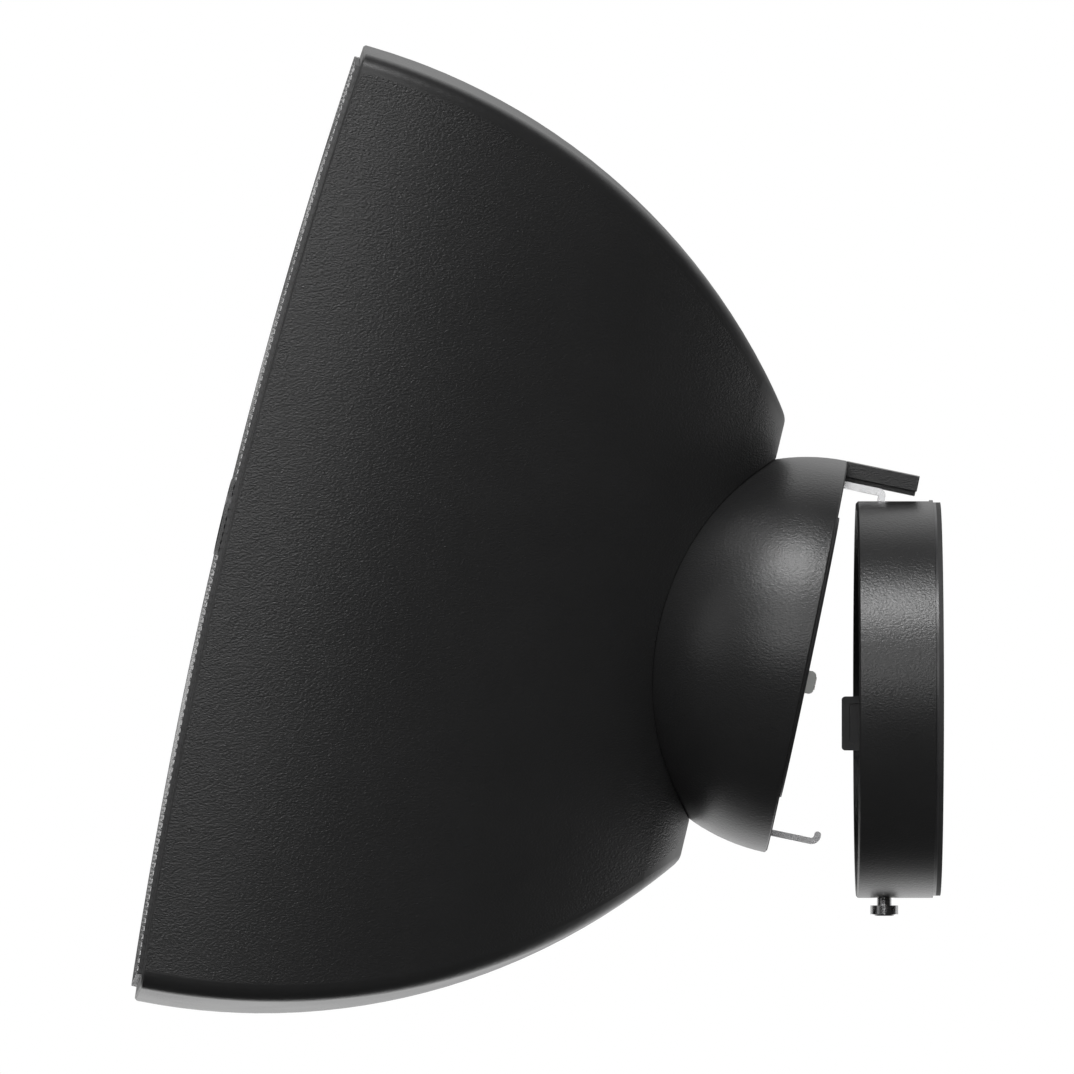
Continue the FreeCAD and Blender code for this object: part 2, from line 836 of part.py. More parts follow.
BALL_X = SEAT - S.hang_out
DOME = Frame(BALL_X, S.hang_rise, S.hang_tilt)
CABINET = Frame(BALL_X, S.hang_rise, S.aim_tilt)
DOME_INSIDE = DOME_RADIUS - S.dome_wall
CHASSIS_FACE = -S.chassis_depth
CHASSIS_BACK = CHASSIS_FACE - S.chassis_thickness
POST_PLACES = around(DOME_RADIUS - S.post_inset, even_turns(CHASSIS_POSTS, S.post_angle))
LATCH_LOW = S.latch_inset - DOME_RADIUS


def dome_shell():
    shoulder = DOME_RADIUS - S.dome_shoulder
    body = turned([
        (-DOME_RADIUS, ZERO, -DOME_RADIUS), (ZERO, DOME_RADIUS), (ZERO, shoulder),
        (CHASSIS_BACK, shoulder), (CHASSIS_BACK, leg(DOME_INSIDE, CHASSIS_BACK), DOME_INSIDE),
        (-DOME_INSIDE, ZERO),
    ])
    ease(body, "Fillet", S.dome_edge, lambda edge: on_circle(edge, DOME_RADIUS, ZERO))
    window = rounded(
        -S.window_width / 2, S.window_width / 2, -S.window_height / 2, S.window_height / 2, S.window_round
    )
    pocket(body, outline_on(body, "YZ_Plane", window))
    posts = [rod(S.post_radius, -DOME_RADIUS, CHASSIS_BACK, y, z) for y, z in POST_PLACES]
    bosses = common(group(*posts), ball(DOME_RADIUS - S.dome_wall / 2))
    holes = [screw_hole(CHASSIS_BACK - S.screw_length, ZERO, y, z) for y, z in POST_PLACES]
    finish(cut(join(body, bosses), *holes), "dome_shell", DOME)


def dome_chassis():
    """The plate that closes the dome's back, with a proud disc and the recess that takes the socket."""
    body = new_body()
    flange = DOME_RADIUS - S.dome_shoulder - S.slot_clearance
    pad(body, circles_on(body, "YZ_Plane", (flange,), offset=CHASSIS_BACK), S.chassis_thickness)
    disc = circles_on(body, "YZ_Plane", (DOME_RADIUS - S.chassis_disc_inset,), offset=CHASSIS_FACE)
    pad(body, disc, S.chassis_depth + S.chassis_proud)
    half = S.socket_width / 2 + S.recess_side
    low = -S.socket_drop - S.socket_height / 2 - S.recess_below
    high = -S.socket_drop + S.socket_height / 2 + S.recess_above
    wall = S.recess_wall
    tub = rounded(-half - wall, half + wall, low - wall, high + wall, wall * 2)
    depth = S.recess_depth + wall + CHASSIS_BACK
    pad(body, outline_on(body, "YZ_Plane", tub, CHASSIS_BACK), depth, reverse=True)
    mouth = rounded(-half, half, low, high, wall)
    pocket(body, outline_on(body, "YZ_Plane", mouth, S.chassis_proud), S.chassis_proud + S.recess_depth)
    gap = S.slot_clearance
    strap = rectangle(-S.strap_width / 2 - gap, S.strap_width / 2 + gap, STRAP_LOW - gap, RIB_LOW + gap)
    pocket(body, outline_on(body, "YZ_Plane", strap))
    half = S.latch_width / 2 + gap
    latch = rectangle(-half, half, LATCH_LOW - gap, LATCH_LOW + S.latch_thickness + gap)
    pocket(body, outline_on(body, "YZ_Plane", latch))
    holes = [(SCREW_HOLE, y, z) for y, z in POST_PLACES]
    pocket(body, circles_on(body, "YZ_Plane", *holes))
    finish(body, "dome_chassis", DOME)
    screws = group(*(screw(CHASSIS_FACE, y, z, S.screw_length, towards=-1) for y, z in POST_PLACES))
    finish(screws, "chassis_screws", DOME)


def rim_seal():
    outer = DOME_RADIUS - S.seal_inset
    body = turned([
        (ZERO, outer - S.seal_width), (ZERO, outer),
        (S.seal_proud, outer), (S.seal_proud, outer - S.seal_width),
    ])
    half = S.tongue_width / 2 + S.notch_clearance
    gap = rectangle(as_size(-OVERRUN), as_size(OVERRUN), -half, half)
    pocket(body, outline_on(body, "XY_Plane", gap), reverse=True)
    finish(body, "rim_seal", DOME)


def top_tongue():
    """A piece of the drum's wall that rides on the dome and fills the notch of the cup."""
    half = S.tongue_width / 2
    inside = DOME_RADIUS - S.tongue_thickness
    over = as_size(OVERRUN)
    ring = cut(rod(DOME_RADIUS, ZERO, S.tongue_length), rod(inside, -over, S.tongue_length + over))
    wall = common(ring, block(-over, S.tongue_length + over, -half, half, ZERO, DOME_RADIUS + over))
    rib = block(
        CHASSIS_FACE, S.tongue_length - S.rib_setback, -S.rib_width / 2, S.rib_width / 2,
        RIB_LOW, inside + S.rib_root,
    )
    finish(join(wall, rib), "top_tongue", DOME)


def hanger_strap():
    left = CHASSIS_BACK - S.strap_thickness
    bend = S.strap_thickness
    body = new_body()
    side = [
        (left, STRAP_LOW - S.strap_foot), (CHASSIS_BACK, STRAP_LOW - S.strap_foot),
        (CHASSIS_BACK, STRAP_LOW), (TAB_FRONT, STRAP_LOW), (TAB_FRONT, TAB_LOW), (S.strap_reach, TAB_LOW),
        (S.strap_reach, RIB_LOW - bend, bend), (S.strap_reach - bend, RIB_LOW),
        (left + bend, RIB_LOW, bend), (left, RIB_LOW - bend),
    ]
    pad(body, outline_on(body, "XZ_Plane", side), S.strap_width, symmetric=True)
    finish(body, "hanger_strap", DOME)


def latch_hook():
    """The lower hook, with an upturned lip and the hole that the thumbscrew locks."""
    sheet = S.latch_thickness
    low = LATCH_LOW
    high = low + sheet
    left = CHASSIS_BACK - sheet
    lip = S.latch_reach - sheet
    lip_top = low + S.latch_lip
    inner = S.latch_bend - sheet
    body = new_body()
    side = [
        (left + sheet, low), (S.latch_reach - S.latch_bend, low, S.latch_bend),
        (S.latch_reach, low + S.latch_bend), (S.latch_reach, lip_top - sheet / 2, sheet / 2),
        (S.latch_reach - sheet / 2, lip_top, sheet / 2), (lip, lip_top - sheet / 2),
        (lip, high + inner, -inner), (lip - inner, high), (CHASSIS_BACK, high),
        (CHASSIS_BACK, high + S.latch_foot), (left, high + S.latch_foot), (left, low + sheet, sheet),
    ]
    pad(body, outline_on(body, "XZ_Plane", side), S.latch_width, symmetric=True)
    pocket(body, circles_on(body, "XY_Plane", (S.latch_hole, THUMB_X - SEAT)))
    finish(body, "latch_hook", DOME)


def contact_plug():
    low = -S.socket_drop - S.plug_height / 2
    high = low + S.plug_height
    nose = S.plug_round
    body = new_body()
    side = [
        (-S.recess_depth, low), (S.plug_out - nose, low, nose), (S.plug_out, low + nose),
        (S.plug_out, high - nose, nose), (S.plug_out - nose, high), (-S.recess_depth, high),
    ]
    pad(body, outline_on(body, "XZ_Plane", side), S.plug_width, symmetric=True)
    finish(body, "contact_plug", DOME)
    studs = [
        block(S.plug_out, S.plug_out + S.plug_contact, y - S.contact_width / 2, y + S.contact_width / 2,
              low + nose, high - nose)
        for y in CONTACT_PLACES
    ]
    finish(group(*studs), "plug_contacts", DOME)


# Ball clamp

SADDLE_OUT = DOME_INSIDE - S.clamp_clearance
SADDLE_IN = SADDLE_OUT - S.saddle_wall
WASHER_OUT = SADDLE_IN - S.clamp_clearance
WASHER_FLAT = S.washer_thickness - WASHER_OUT
SOCKET_IN = DOME_RADIUS + S.socket_clearance
SOCKET_OUT = SOCKET_IN + S.socket_wall
BOLT_TIP = WASHER_FLAT - S.bolt_length
BORE_END = BOLT_TIP - S.bolt_clearance
# How far the internal lead passes beside the bolt
GLAND_OFFSET = S.clamp_boss_radius + S.gland_clearance + S.gland_flange + S.gland_radius


def clamp_saddle():
    """The curved plate inside the dome that the bolt draws against its wall, with a slot for the lead."""
    over = as_size(OVERRUN)
    left = -SADDLE_OUT - over
    wide = S.saddle_width / 2
    tall = S.saddle_height / 2
    patch = common(ball(SADDLE_OUT), block(left, ZERO, -wide, wide, -tall, tall))
    slots = [
        block(left, ZERO, middle - half, middle + half, -S.slot_height / 2, S.slot_height / 2)
        for middle, half in ((ZERO, S.bolt_radius + S.bolt_clearance), (GLAND_OFFSET, S.gland_bore))
    ]
    finish(cut(patch, ball(SADDLE_IN), *slots), "clamp_saddle", DOME)


def clamp_bolt():
    bore = S.bolt_radius + S.fit_clearance
    washer = turned([
        (WASHER_FLAT, bore), (WASHER_FLAT, S.washer_radius),
        (-leg(WASHER_OUT, S.washer_radius), S.washer_radius, WASHER_OUT), (-leg(WASHER_OUT, bore), bore),
    ])
    finish(washer, "clamp_washer", CABINET)
    bolt = new_body()
    head = outline_on(bolt, "YZ_Plane", hexagon(S.bolt_head_flats / 2), WASHER_FLAT)
    pad(bolt, head, S.bolt_head_height)
    shank = circles_on(bolt, "YZ_Plane", (S.bolt_radius,), offset=WASHER_FLAT)
    pad(bolt, shank, S.bolt_length, reverse=True)
    finish(bolt, "clamp_bolt", CABINET)
    right = -SOCKET_IN - S.insert_setback
    left = right - S.clamp_insert_length
    insert = turned([
        (left, bore), (right, bore), (right, S.clamp_insert_radius), (left, S.clamp_insert_radius),
    ])
    finish(insert, "clamp_insert", CABINET)


# Cabinet, in its own frame: the ball's centre is the origin and the front faces -X

BACK = -S.ball_setback
FRONT = BACK - S.cabinet_depth
HALF_HEIGHT = S.cabinet_height / 2
HALF_WIDTH = S.cabinet_width / 2
TOP_DROP = HALF_HEIGHT - S.back_height / 2
TOP_ARC = (S.cabinet_depth * S.cabinet_depth + TOP_DROP * TOP_DROP) / (TOP_DROP * 2)
SIDE_ARC = (
    S.cabinet_depth * S.cabinet_depth - S.cabinet_depth * S.nose_radius * 2 + HALF_WIDTH * HALF_WIDTH
) / ((HALF_WIDTH - S.nose_radius) * 2)
BAFFLE_FRONT = FRONT + S.baffle_setback
BAFFLE_BACK = BAFFLE_FRONT + S.baffle_thickness
LEDGE_FRONT = BAFFLE_BACK + S.baffle_gasket
GRILLE_FRONT = FRONT - S.grille_proud
WIDE = HALF_WIDTH + OVERRUN
TALL = HALF_HEIGHT + OVERRUN
BAFFLE_SCREW_Y = HALF_WIDTH - S.cabinet_wall - S.baffle_screw_inset
BAFFLE_SCREW_Z = HALF_HEIGHT - S.cabinet_wall - S.baffle_screw_end
# The screws of one side stand the same distance apart, an even number of them about the middle
BAFFLE_SCREW_PLACES = [
    (BAFFLE_SCREW_Y * side, BAFFLE_SCREW_Z * level / BAFFLE_SCREW_GAPS)
    for side in SIDES
    for level in range(-BAFFLE_SCREW_GAPS, BAFFLE_SCREW_GAPS + 1, 2)
]
# The drivers share the front's height with equal gaps above, between and below them
DRIVER_GAP = (S.cabinet_height - S.woofer_radius * 2 - S.tweeter_radius * 2) / DRIVER_GAPS
WOOFER_DROP = HALF_HEIGHT - DRIVER_GAP - S.woofer_radius
TWEETER_RISE = HALF_HEIGHT - DRIVER_GAP - S.tweeter_radius
# The ports stand above the front's lower edge, each beside the woofer's flange
PORT_OUT = S.port_radius + S.port_wall
PORT_DROP = HALF_HEIGHT - S.port_rise
PORT_SPREAD = leg(S.woofer_radius + S.port_gap + PORT_OUT + S.port_lip, PORT_DROP - WOOFER_DROP)


def plan_prism(inset):
    """The cabinet's plan: two arcs from the front, tangent to a round nose at the back."""
    wide = HALF_WIDTH - inset
    centre = SIDE_ARC - HALF_WIDTH
    reach = (SIDE_ARC - inset) / (SIDE_ARC - S.nose_radius)
    touch_x = FRONT + (S.cabinet_depth - S.nose_radius) * reach
    touch_y = centre * reach - centre
    lead = FRONT - OVERRUN
    body = new_body()
    plan = [
        (lead, -wide), (FRONT, -wide, SIDE_ARC - inset), (touch_x, -touch_y, S.nose_radius - inset),
        (touch_x, touch_y, SIDE_ARC - inset), (FRONT, wide), (lead, wide),
    ]
    pad(body, outline_on(body, "XY_Plane", plan), TALL * 2, symmetric=True)
    return body


def crowned_tube(inset, up):
    """A torus about an axis along the cabinet, whose outside is the crowned top or bottom."""
    item = doc.addObject("Part::Torus", "crown")
    item.Placement.Rotation = FreeCAD.Rotation(ACROSS, QUARTER_TURN * up)
    bind(item, Radius1=S.crown_radius - TOP_ARC, Radius2=TOP_ARC - inset)
    return shift(item, FRONT, ZERO, (HALF_HEIGHT - S.crown_radius) * up)


def cushion(inset):
    """The cabinet's cushion form, moved in by an inset and open to the front."""
    return common(plan_prism(inset), crowned_tube(inset, 1), crowned_tube(inset, -1))


def between(left, right):
    return block(left, right, -WIDE, WIDE, -TALL, TALL)


def surfaces_at(edge, shape):
    return {type(face.Surface) for face in shape.ancestorsOfType(edge, Part.Face)}


def rounded_cushion(outer):
    """The outer form, its top and bottom edges rounded along the sides and the nose, its front bevelled."""
    body = new_body()
    body.BaseFeature = outer
    doc.recompute()
    sharp = body.Tip.Shape
    crown_to_side = {Part.Toroid, Part.Cylinder}
    ease(body, "Fillet", S.edge_round, lambda edge: surfaces_at(edge, sharp) == crown_to_side)
    doc.recompute()
    soft = body.Tip.Shape
    ease(body, "Chamfer", S.front_bevel, lambda edge: Part.Sphere in surfaces_at(edge, soft))
    return body


def enclosure(inside, ledge_inside):
    front_ball = ball(S.front_radius, FRONT + S.front_radius)
    outer = rounded_cushion(common(cushion(ZERO), front_ball))
    ledge = cut(between(LEDGE_FRONT, LEDGE_FRONT + S.ledge_thickness), ledge_inside)
    boss = rod(S.clamp_boss_radius, BORE_END - S.clamp_boss_cover, -SOCKET_IN)
    cavity = cut(inside, ledge, ball(SOCKET_OUT), boss)
    bore = rod(S.clamp_insert_radius + S.fit_clearance, BORE_END, ZERO)
    gland = rod(S.gland_radius + S.fit_clearance, -SOCKET_OUT - OVERRUN, ZERO, GLAND_OFFSET)
    screw_end = BAFFLE_FRONT + S.screw_length + S.screw_clearance
    screws = [screw_hole(LEDGE_FRONT - OVERRUN, screw_end, y, z) for y, z in BAFFLE_SCREW_PLACES]
    finish(cut(outer, cavity, ball(SOCKET_IN), bore, gland, *screws), "enclosure", CABINET)


def cable_gland():
    """The rubber bush in the socket's wall that the internal lead passes through."""
    right = -leg(SOCKET_IN, GLAND_OFFSET - S.gland_radius)
    left = -SOCKET_OUT - S.gland_flange
    flange = S.gland_radius + S.gland_flange
    body = turned([
        (left, S.gland_bore), (right, S.gland_bore), (right, S.gland_radius),
        (-SOCKET_OUT, S.gland_radius), (-SOCKET_OUT, flange), (left, flange),
    ])
    finish(body, "cable_gland", CABINET, across=GLAND_OFFSET)


def baffle(tray, ledge_inside):
    holes = [screw_hole(FRONT, LEDGE_FRONT, y, z) for y, z in BAFFLE_SCREW_PLACES]
    ports = [rod(PORT_OUT, FRONT, BACK, PORT_SPREAD * side, -PORT_DROP) for side in SIDES]
    woofer = rod(S.woofer_cutout, FRONT, BACK, ZERO, -WOOFER_DROP)
    tweeter = rod(S.tweeter_cutout, FRONT, BACK, ZERO, TWEETER_RISE)
    slab = common(tray, between(BAFFLE_FRONT, BAFFLE_BACK))
    finish(cut(slab, woofer, tweeter, *ports, *holes), "baffle", CABINET)
    strip = common(tray, between(BAFFLE_BACK, LEDGE_FRONT))
    gasket_holes = [screw_hole(FRONT, LEDGE_FRONT + OVERRUN, y, z) for y, z in BAFFLE_SCREW_PLACES]
    finish(cut(strip, ledge_inside, *gasket_holes), "baffle_gasket", CABINET)
    screws = group(*(screw(BAFFLE_FRONT, y, z, S.screw_length) for y, z in BAFFLE_SCREW_PLACES))
    finish(screws, "baffle_screws", CABINET)


def grille_holes():
    """A staggered field of round holes, clear of the sheet's edge and of the badge."""
    margin = S.cabinet_wall + S.grille_clearance + S.hole_radius * 2
    step = S.hole_pitch * cosine(as_size(HEXAGON_ANGLE))
    rows = int((HALF_HEIGHT - margin).value / step.value)
    columns = int((HALF_WIDTH - margin).value / S.hole_pitch.value)
    holes = []
    for row in range(-rows, rows + 1):
        for column in range(-columns, columns + 1):
            y = S.hole_pitch * (column + row % 2 / 2)
            z = step * row
            inside = abs(y.value) < (HALF_WIDTH - margin).value
            off_badge = math.hypot(y.value, z.value) > S.badge_radius.value + S.hole_radius.value
            if inside and off_badge:
                holes.append(rod(S.hole_radius, GRILLE_FRONT - OVERRUN, BAFFLE_FRONT, y, z))
    return holes


def grille(tray, tray_inside):
    """A perforated sheet pressed into a tray: its face follows the bowed front, its edge turns back."""
    face = ball(S.front_radius, GRILLE_FRONT + S.front_radius)
    back = ball(S.front_radius - S.grille_sheet, GRILLE_FRONT + S.front_radius)
    outside = common(tray, face, between(GRILLE_FRONT - OVERRUN, BAFFLE_FRONT))
    finish(cut(outside, common(tray_inside, back), *grille_holes()), "grille", CABINET)
    front = GRILLE_FRONT - S.badge_thickness
    badge = turned([
        (front, ZERO), (front, S.badge_radius - S.badge_edge), (front + S.badge_edge, S.badge_radius),
        (GRILLE_FRONT, S.badge_radius), (GRILLE_FRONT, ZERO),
    ])
    finish(badge, "badge", CABINET)


# Woofer, on its own axis: x = 0 is the front of the baffle

WOOFER = {"along": BAFFLE_FRONT, "up": -WOOFER_DROP}
TOP_PLATE = S.basket_depth
MAGNET = TOP_PLATE + S.top_plate_thickness
YOKE = MAGNET + S.magnet_thickness
COIL_IN = S.pole_radius + S.coil_gap
COIL_OUT = COIL_IN + S.coil_wall
RIM = -S.woofer_flange
ROLL_IN = S.cone_radius + S.moving_gap
ROLL_OUT = ROLL_IN + S.roll_radius * 2


def woofer_basket():
    wall = S.basket_wall
    neck = S.magnet_radius + wall
    mouth = S.woofer_cutout - S.moving_gap
    body = turned([
        (RIM, ROLL_OUT), (RIM, S.woofer_radius), (ZERO, S.woofer_radius), (ZERO, mouth),
        (TOP_PLATE - S.basket_plate, neck), (TOP_PLATE, neck), (TOP_PLATE, S.magnet_bore),
        (TOP_PLATE - S.basket_plate, S.magnet_bore), (TOP_PLATE - S.basket_plate, neck - wall),
        (ZERO, mouth - wall),
    ])
    low = neck + wall
    high = mouth - wall * 2
    half = S.basket_window / 2
    window = [(-half, low), (half, low), (S.basket_window, high), (-S.basket_window, high)]
    opening = pocket(body, outline_on(body, "YZ_Plane", window, S.basket_depth), S.basket_depth)
    repeat_about_x(body, opening, BASKET_WINDOWS)
    places = around(S.woofer_screw_circle, even_turns(WOOFER_SCREWS, S.woofer_screw_angle))
    holes = [(SCREW_HOLE, y, z) for y, z in places]
    pocket(body, circles_on(body, "YZ_Plane", *holes), S.woofer_flange)
    finish(body, "woofer_basket", CABINET, **WOOFER)
    screws = group(*(screw(RIM, y, z, S.woofer_flange) for y, z in places))
    finish(screws, "woofer_screws", CABINET, **WOOFER)


def woofer_motor():
    top_bore = COIL_OUT + S.coil_gap
    rings = {
        "woofer_top_plate": (TOP_PLATE, MAGNET, top_bore),
        "woofer_magnet": (MAGNET, YOKE, S.magnet_bore),
    }
    for label, (left, right, bore) in rings.items():
        ring = turned([(left, bore), (right, bore), (right, S.magnet_radius), (left, S.magnet_radius)])
        finish(ring, label, CABINET, **WOOFER)
    back = YOKE + S.yoke_thickness
    yoke = turned([
        (TOP_PLATE, S.pole_vent), (back, S.pole_vent), (back, S.magnet_radius),
        (YOKE, S.magnet_radius), (YOKE, S.pole_radius), (TOP_PLATE, S.pole_radius),
    ])
    finish(yoke, "woofer_yoke", CABINET, **WOOFER)


def basket_inside(x):
    """The basket's inner radius at a depth x."""
    mouth = S.woofer_cutout - S.moving_gap - S.basket_wall
    return mouth - (mouth - S.magnet_radius) * x / (TOP_PLATE - S.basket_plate)


def woofer_suspension():
    """The half roll round the cone and the rippled spider round the voice coil."""
    sheet = S.roll_thickness
    middle = ROLL_IN + S.roll_radius
    inner = S.roll_radius - sheet
    lip = S.woofer_screw_circle - S.screw_head_radius - S.moving_gap
    roll = turned([
        (RIM, ROLL_IN, -S.roll_radius), (RIM - S.roll_radius, middle, -S.roll_radius),
        (RIM - sheet, middle + leg(S.roll_radius, sheet)), (RIM - sheet, lip), (RIM, lip),
        (RIM, middle + inner, inner), (RIM - inner, middle, inner), (RIM, middle - inner),
    ])
    finish(roll, "woofer_surround", CABINET, **WOOFER)
    first = COIL_OUT + S.moving_gap
    last = basket_inside(S.spider_setback + S.spider_wave + S.spider_thickness)
    steps = SPIDER_WAVES * 2
    front = [
        (S.spider_setback + S.spider_wave * (step % 2), first + (last - first) * (step / steps))
        for step in range(steps + 1)
    ]
    back = [(x + S.spider_thickness, radius) for x, radius in reversed(front)]
    finish(turned(front + back), "woofer_spider", CABINET, **WOOFER)


def woofer_cone():
    """The parts that move together: cone, dust cap and voice coil."""
    sheet = S.cone_thickness
    neck = COIL_OUT + S.fit_clearance
    apex = RIM + S.cone_depth
    cone = turned([
        (RIM, S.cone_radius), (RIM + sheet, S.cone_radius), (apex + sheet, neck), (apex, neck),
    ])
    finish(cone, "woofer_cone", CABINET, **WOOFER)
    coil_end = apex + S.coil_length
    coil = turned([(apex, COIL_IN), (coil_end, COIL_IN), (coil_end, COIL_OUT), (apex, COIL_OUT)])
    finish(coil, "woofer_voice_coil", CABINET, **WOOFER)
    seat = RIM + S.cone_depth * (S.cone_radius - S.cap_radius) / (S.cone_radius - neck)
    finish(dome_cap(seat - sheet, S.cap_radius, S.cap_rise, sheet), "woofer_dust_cap", CABINET, **WOOFER)


def dome_cap(edge, radius, rise, sheet):
    """A thin cap bulging to the front, whose edge starts at x = edge."""
    curve = (radius * radius + rise * rise) / (rise * 2)
    return turned([
        (edge - rise, ZERO, -curve), (edge, radius),
        (edge + sheet, radius, curve), (edge + sheet - rise, ZERO),
    ])


# Tweeter, ports and crossover

TWEETER = {"along": BAFFLE_FRONT, "up": TWEETER_RISE}


def tweeter():
    front = -S.tweeter_plate
    horn = S.tweeter_horn
    body = turned([
        (front, S.tweeter_mouth), (front, S.tweeter_radius), (ZERO, S.tweeter_radius),
        (ZERO, S.tweeter_cutout - S.moving_gap), (horn, S.tweeter_throat + S.tweeter_wall * 2),
        (horn, S.tweeter_throat, -S.tweeter_curve),
    ])
    places = around(S.tweeter_screw_circle, even_turns(TWEETER_SCREWS, S.tweeter_screw_angle))
    holes = [(SCREW_HOLE, y, z) for y, z in places]
    pocket(body, circles_on(body, "YZ_Plane", *holes), S.tweeter_plate)
    finish(body, "tweeter_waveguide", CABINET, **TWEETER)
    screws = group(*(screw(front, y, z, S.tweeter_plate) for y, z in places))
    finish(screws, "tweeter_screws", CABINET, **TWEETER)
    sheet = S.tweeter_dome_sheet
    cap = dome_cap(horn - sheet, S.tweeter_throat - S.moving_gap, S.tweeter_dome_rise, sheet)
    finish(cap, "tweeter_dome", CABINET, **TWEETER)
    edge = S.tweeter_wall
    motor = turned([
        (horn, ZERO), (horn, S.tweeter_motor_radius - edge), (horn + edge, S.tweeter_motor_radius),
        (horn + S.tweeter_motor_length, S.tweeter_motor_radius), (horn + S.tweeter_motor_length, ZERO),
    ])
    finish(motor, "tweeter_motor", CABINET, **TWEETER)


def port_tube(label, across):
    outside = PORT_OUT - S.fit_clearance
    front = -S.port_lip_thickness
    body = turned([
        (front, S.port_radius), (front, outside + S.port_lip), (ZERO, outside + S.port_lip),
        (ZERO, outside), (S.port_length, outside), (S.port_length, S.port_radius),
    ])
    finish(body, label, CABINET, along=BAFFLE_FRONT, across=across, up=-PORT_DROP)


def crossover():
    """The crossover board, on standoffs behind the baffle beside the tweeter."""
    front = BAFFLE_BACK + S.standoff_length
    back = front + S.board_thickness
    y = HALF_WIDTH - S.board_inset
    z = HALF_HEIGHT - S.board_drop
    half_y = S.board_width / 2
    half_z = S.board_height / 2
    board = block(front, back, y - half_y, y + half_y, z - half_z, z + half_z)
    finish(group(board), "crossover_board", CABINET)
    corners = [
        (y + (half_y - S.standoff_inset) * side, z + (half_z - S.standoff_inset) * level)
        for side in SIDES for level in SIDES
    ]
    posts = group(*(rod(S.standoff_radius, BAFFLE_BACK, front, *corner) for corner in corners))
    finish(posts, "board_standoffs", CABINET)
    heights = [z - S.inductor_rise + S.inductor_pitch / 2 * side for side in SIDES]
    coils = [
        cut(rod(S.inductor_radius, back, back + S.inductor_length, y, height),
            rod(S.inductor_bore, back, back + S.inductor_length, y, height))
        for height in heights
    ]
    finish(group(*coils), "crossover_coils", CABINET)
    cans = [
        rod(S.capacitor_radius, back, back + S.capacitor_length, y + offset, z + S.capacitor_rise)
        for offset in (-S.capacitor_pitch, ZERO, S.capacitor_pitch)
    ]
    finish(group(*cans), "crossover_capacitors", CABINET)


def build():
    base_plates()
    base_cup()
    base_fasteners()
    hook_bracket()
    socket_housing()
    terminal_block()
    thumbscrew()
    dome_shell()
    dome_chassis()
    rim_seal()
    top_tongue()
    hanger_strap()
    latch_hook()
    contact_plug()
    clamp_saddle()
    clamp_bolt()
    inside = cushion(S.cabinet_wall)
    ledge_inside = cushion(S.cabinet_wall + S.ledge_width)
    tray = cushion(S.cabinet_wall + S.grille_clearance)
    tray_inside = cushion(S.cabinet_wall + S.grille_clearance + S.grille_sheet)
    enclosure(inside, ledge_inside)
    cable_gland()
    baffle(tray, ledge_inside)
    grille(tray, tray_inside)
    woofer_basket()
    woofer_motor()
    woofer_suspension()
    woofer_cone()
    tweeter()
    port_tube("port_tube_near", -PORT_SPREAD)
    port_tube("port_tube_far", PORT_SPREAD)
    crossover()


def check():
    """Stops on any object that failed to build, and on any sub-part without a sound shape."""
    failed = [item.Label for item in doc.Objects if {"Invalid", "Error"} & set(item.State)]
    unsound = [item.Label for item in PIECES if item.Shape.isNull() or not item.Shape.isValid()]
    if failed or unsound:
        raise RuntimeError(f"failed: {failed}, unsound: {unsound}")


def write():
    os.makedirs("parts", exist_ok=True)
    for item in PIECES:
        item.Shape.exportStep(os.path.join("parts", f"{item.Label}.step"))


build()
doc.recompute()
check()
write()
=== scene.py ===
"""Finishes, perforated grille and studio stage of a wall loudspeaker that hooks onto a round base."""
import json
import math

import bmesh
import bpy
from mathutils import Matrix, Vector


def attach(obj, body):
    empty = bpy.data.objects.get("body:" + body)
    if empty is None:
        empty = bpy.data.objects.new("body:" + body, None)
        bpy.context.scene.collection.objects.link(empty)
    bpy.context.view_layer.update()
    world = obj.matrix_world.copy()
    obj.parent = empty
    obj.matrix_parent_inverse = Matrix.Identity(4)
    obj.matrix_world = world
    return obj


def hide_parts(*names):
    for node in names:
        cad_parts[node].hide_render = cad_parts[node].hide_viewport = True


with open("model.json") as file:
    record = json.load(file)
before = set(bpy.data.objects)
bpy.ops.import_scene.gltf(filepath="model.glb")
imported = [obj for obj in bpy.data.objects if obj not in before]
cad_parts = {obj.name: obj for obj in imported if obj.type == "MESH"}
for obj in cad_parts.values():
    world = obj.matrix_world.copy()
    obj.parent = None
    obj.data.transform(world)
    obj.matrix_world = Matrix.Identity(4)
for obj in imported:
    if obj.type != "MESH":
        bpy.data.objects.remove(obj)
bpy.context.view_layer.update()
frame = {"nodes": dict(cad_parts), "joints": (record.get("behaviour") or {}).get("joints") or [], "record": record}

bl_info = {
    "name": "Wall Speaker",
    "version": (1, 0, 0),
    "blender": (4, 5, 0),
    "location": "View3D > Sidebar > Speaker",
    "description": "Builds the finishes, the grille and the stage of a wall speaker",
    "category": "Object",
}

JOINTS = {joint["name"]: joint for joint in frame["joints"]}
MM = 0.001
WHITE = (1, 1, 1, 1)

# The photograph's side in pixels, and how much of the symmetry plane one pixel covers
PHOTO_PIXELS = 1074
PIXEL = 0.36 * MM
# Where the frame's origin lies in the photograph, in pixels
ORIGIN_PIXEL = (940, 699)

# How finely the new pieces are divided
HEX_SIDES = 6
CROWN_STEPS = 14
WALL_STEPS = 64
BADGE_SIDES = 96
BADGE_EDGE_STEPS = 3
# How close two points are to be one point, and how close a point is to a cut to lie on it
WELD = 0.004 * MM
CUT_TOLERANCE = 0.0001 * MM
# Turns a flat shape to face along X
FACING_FRONT = Matrix.Rotation(math.radians(90), 4, "Y")

# How far moulded edges look rounded
EDGE_GLINT = 0.35 * MM
EDGE_GLINT_SAMPLES = 4
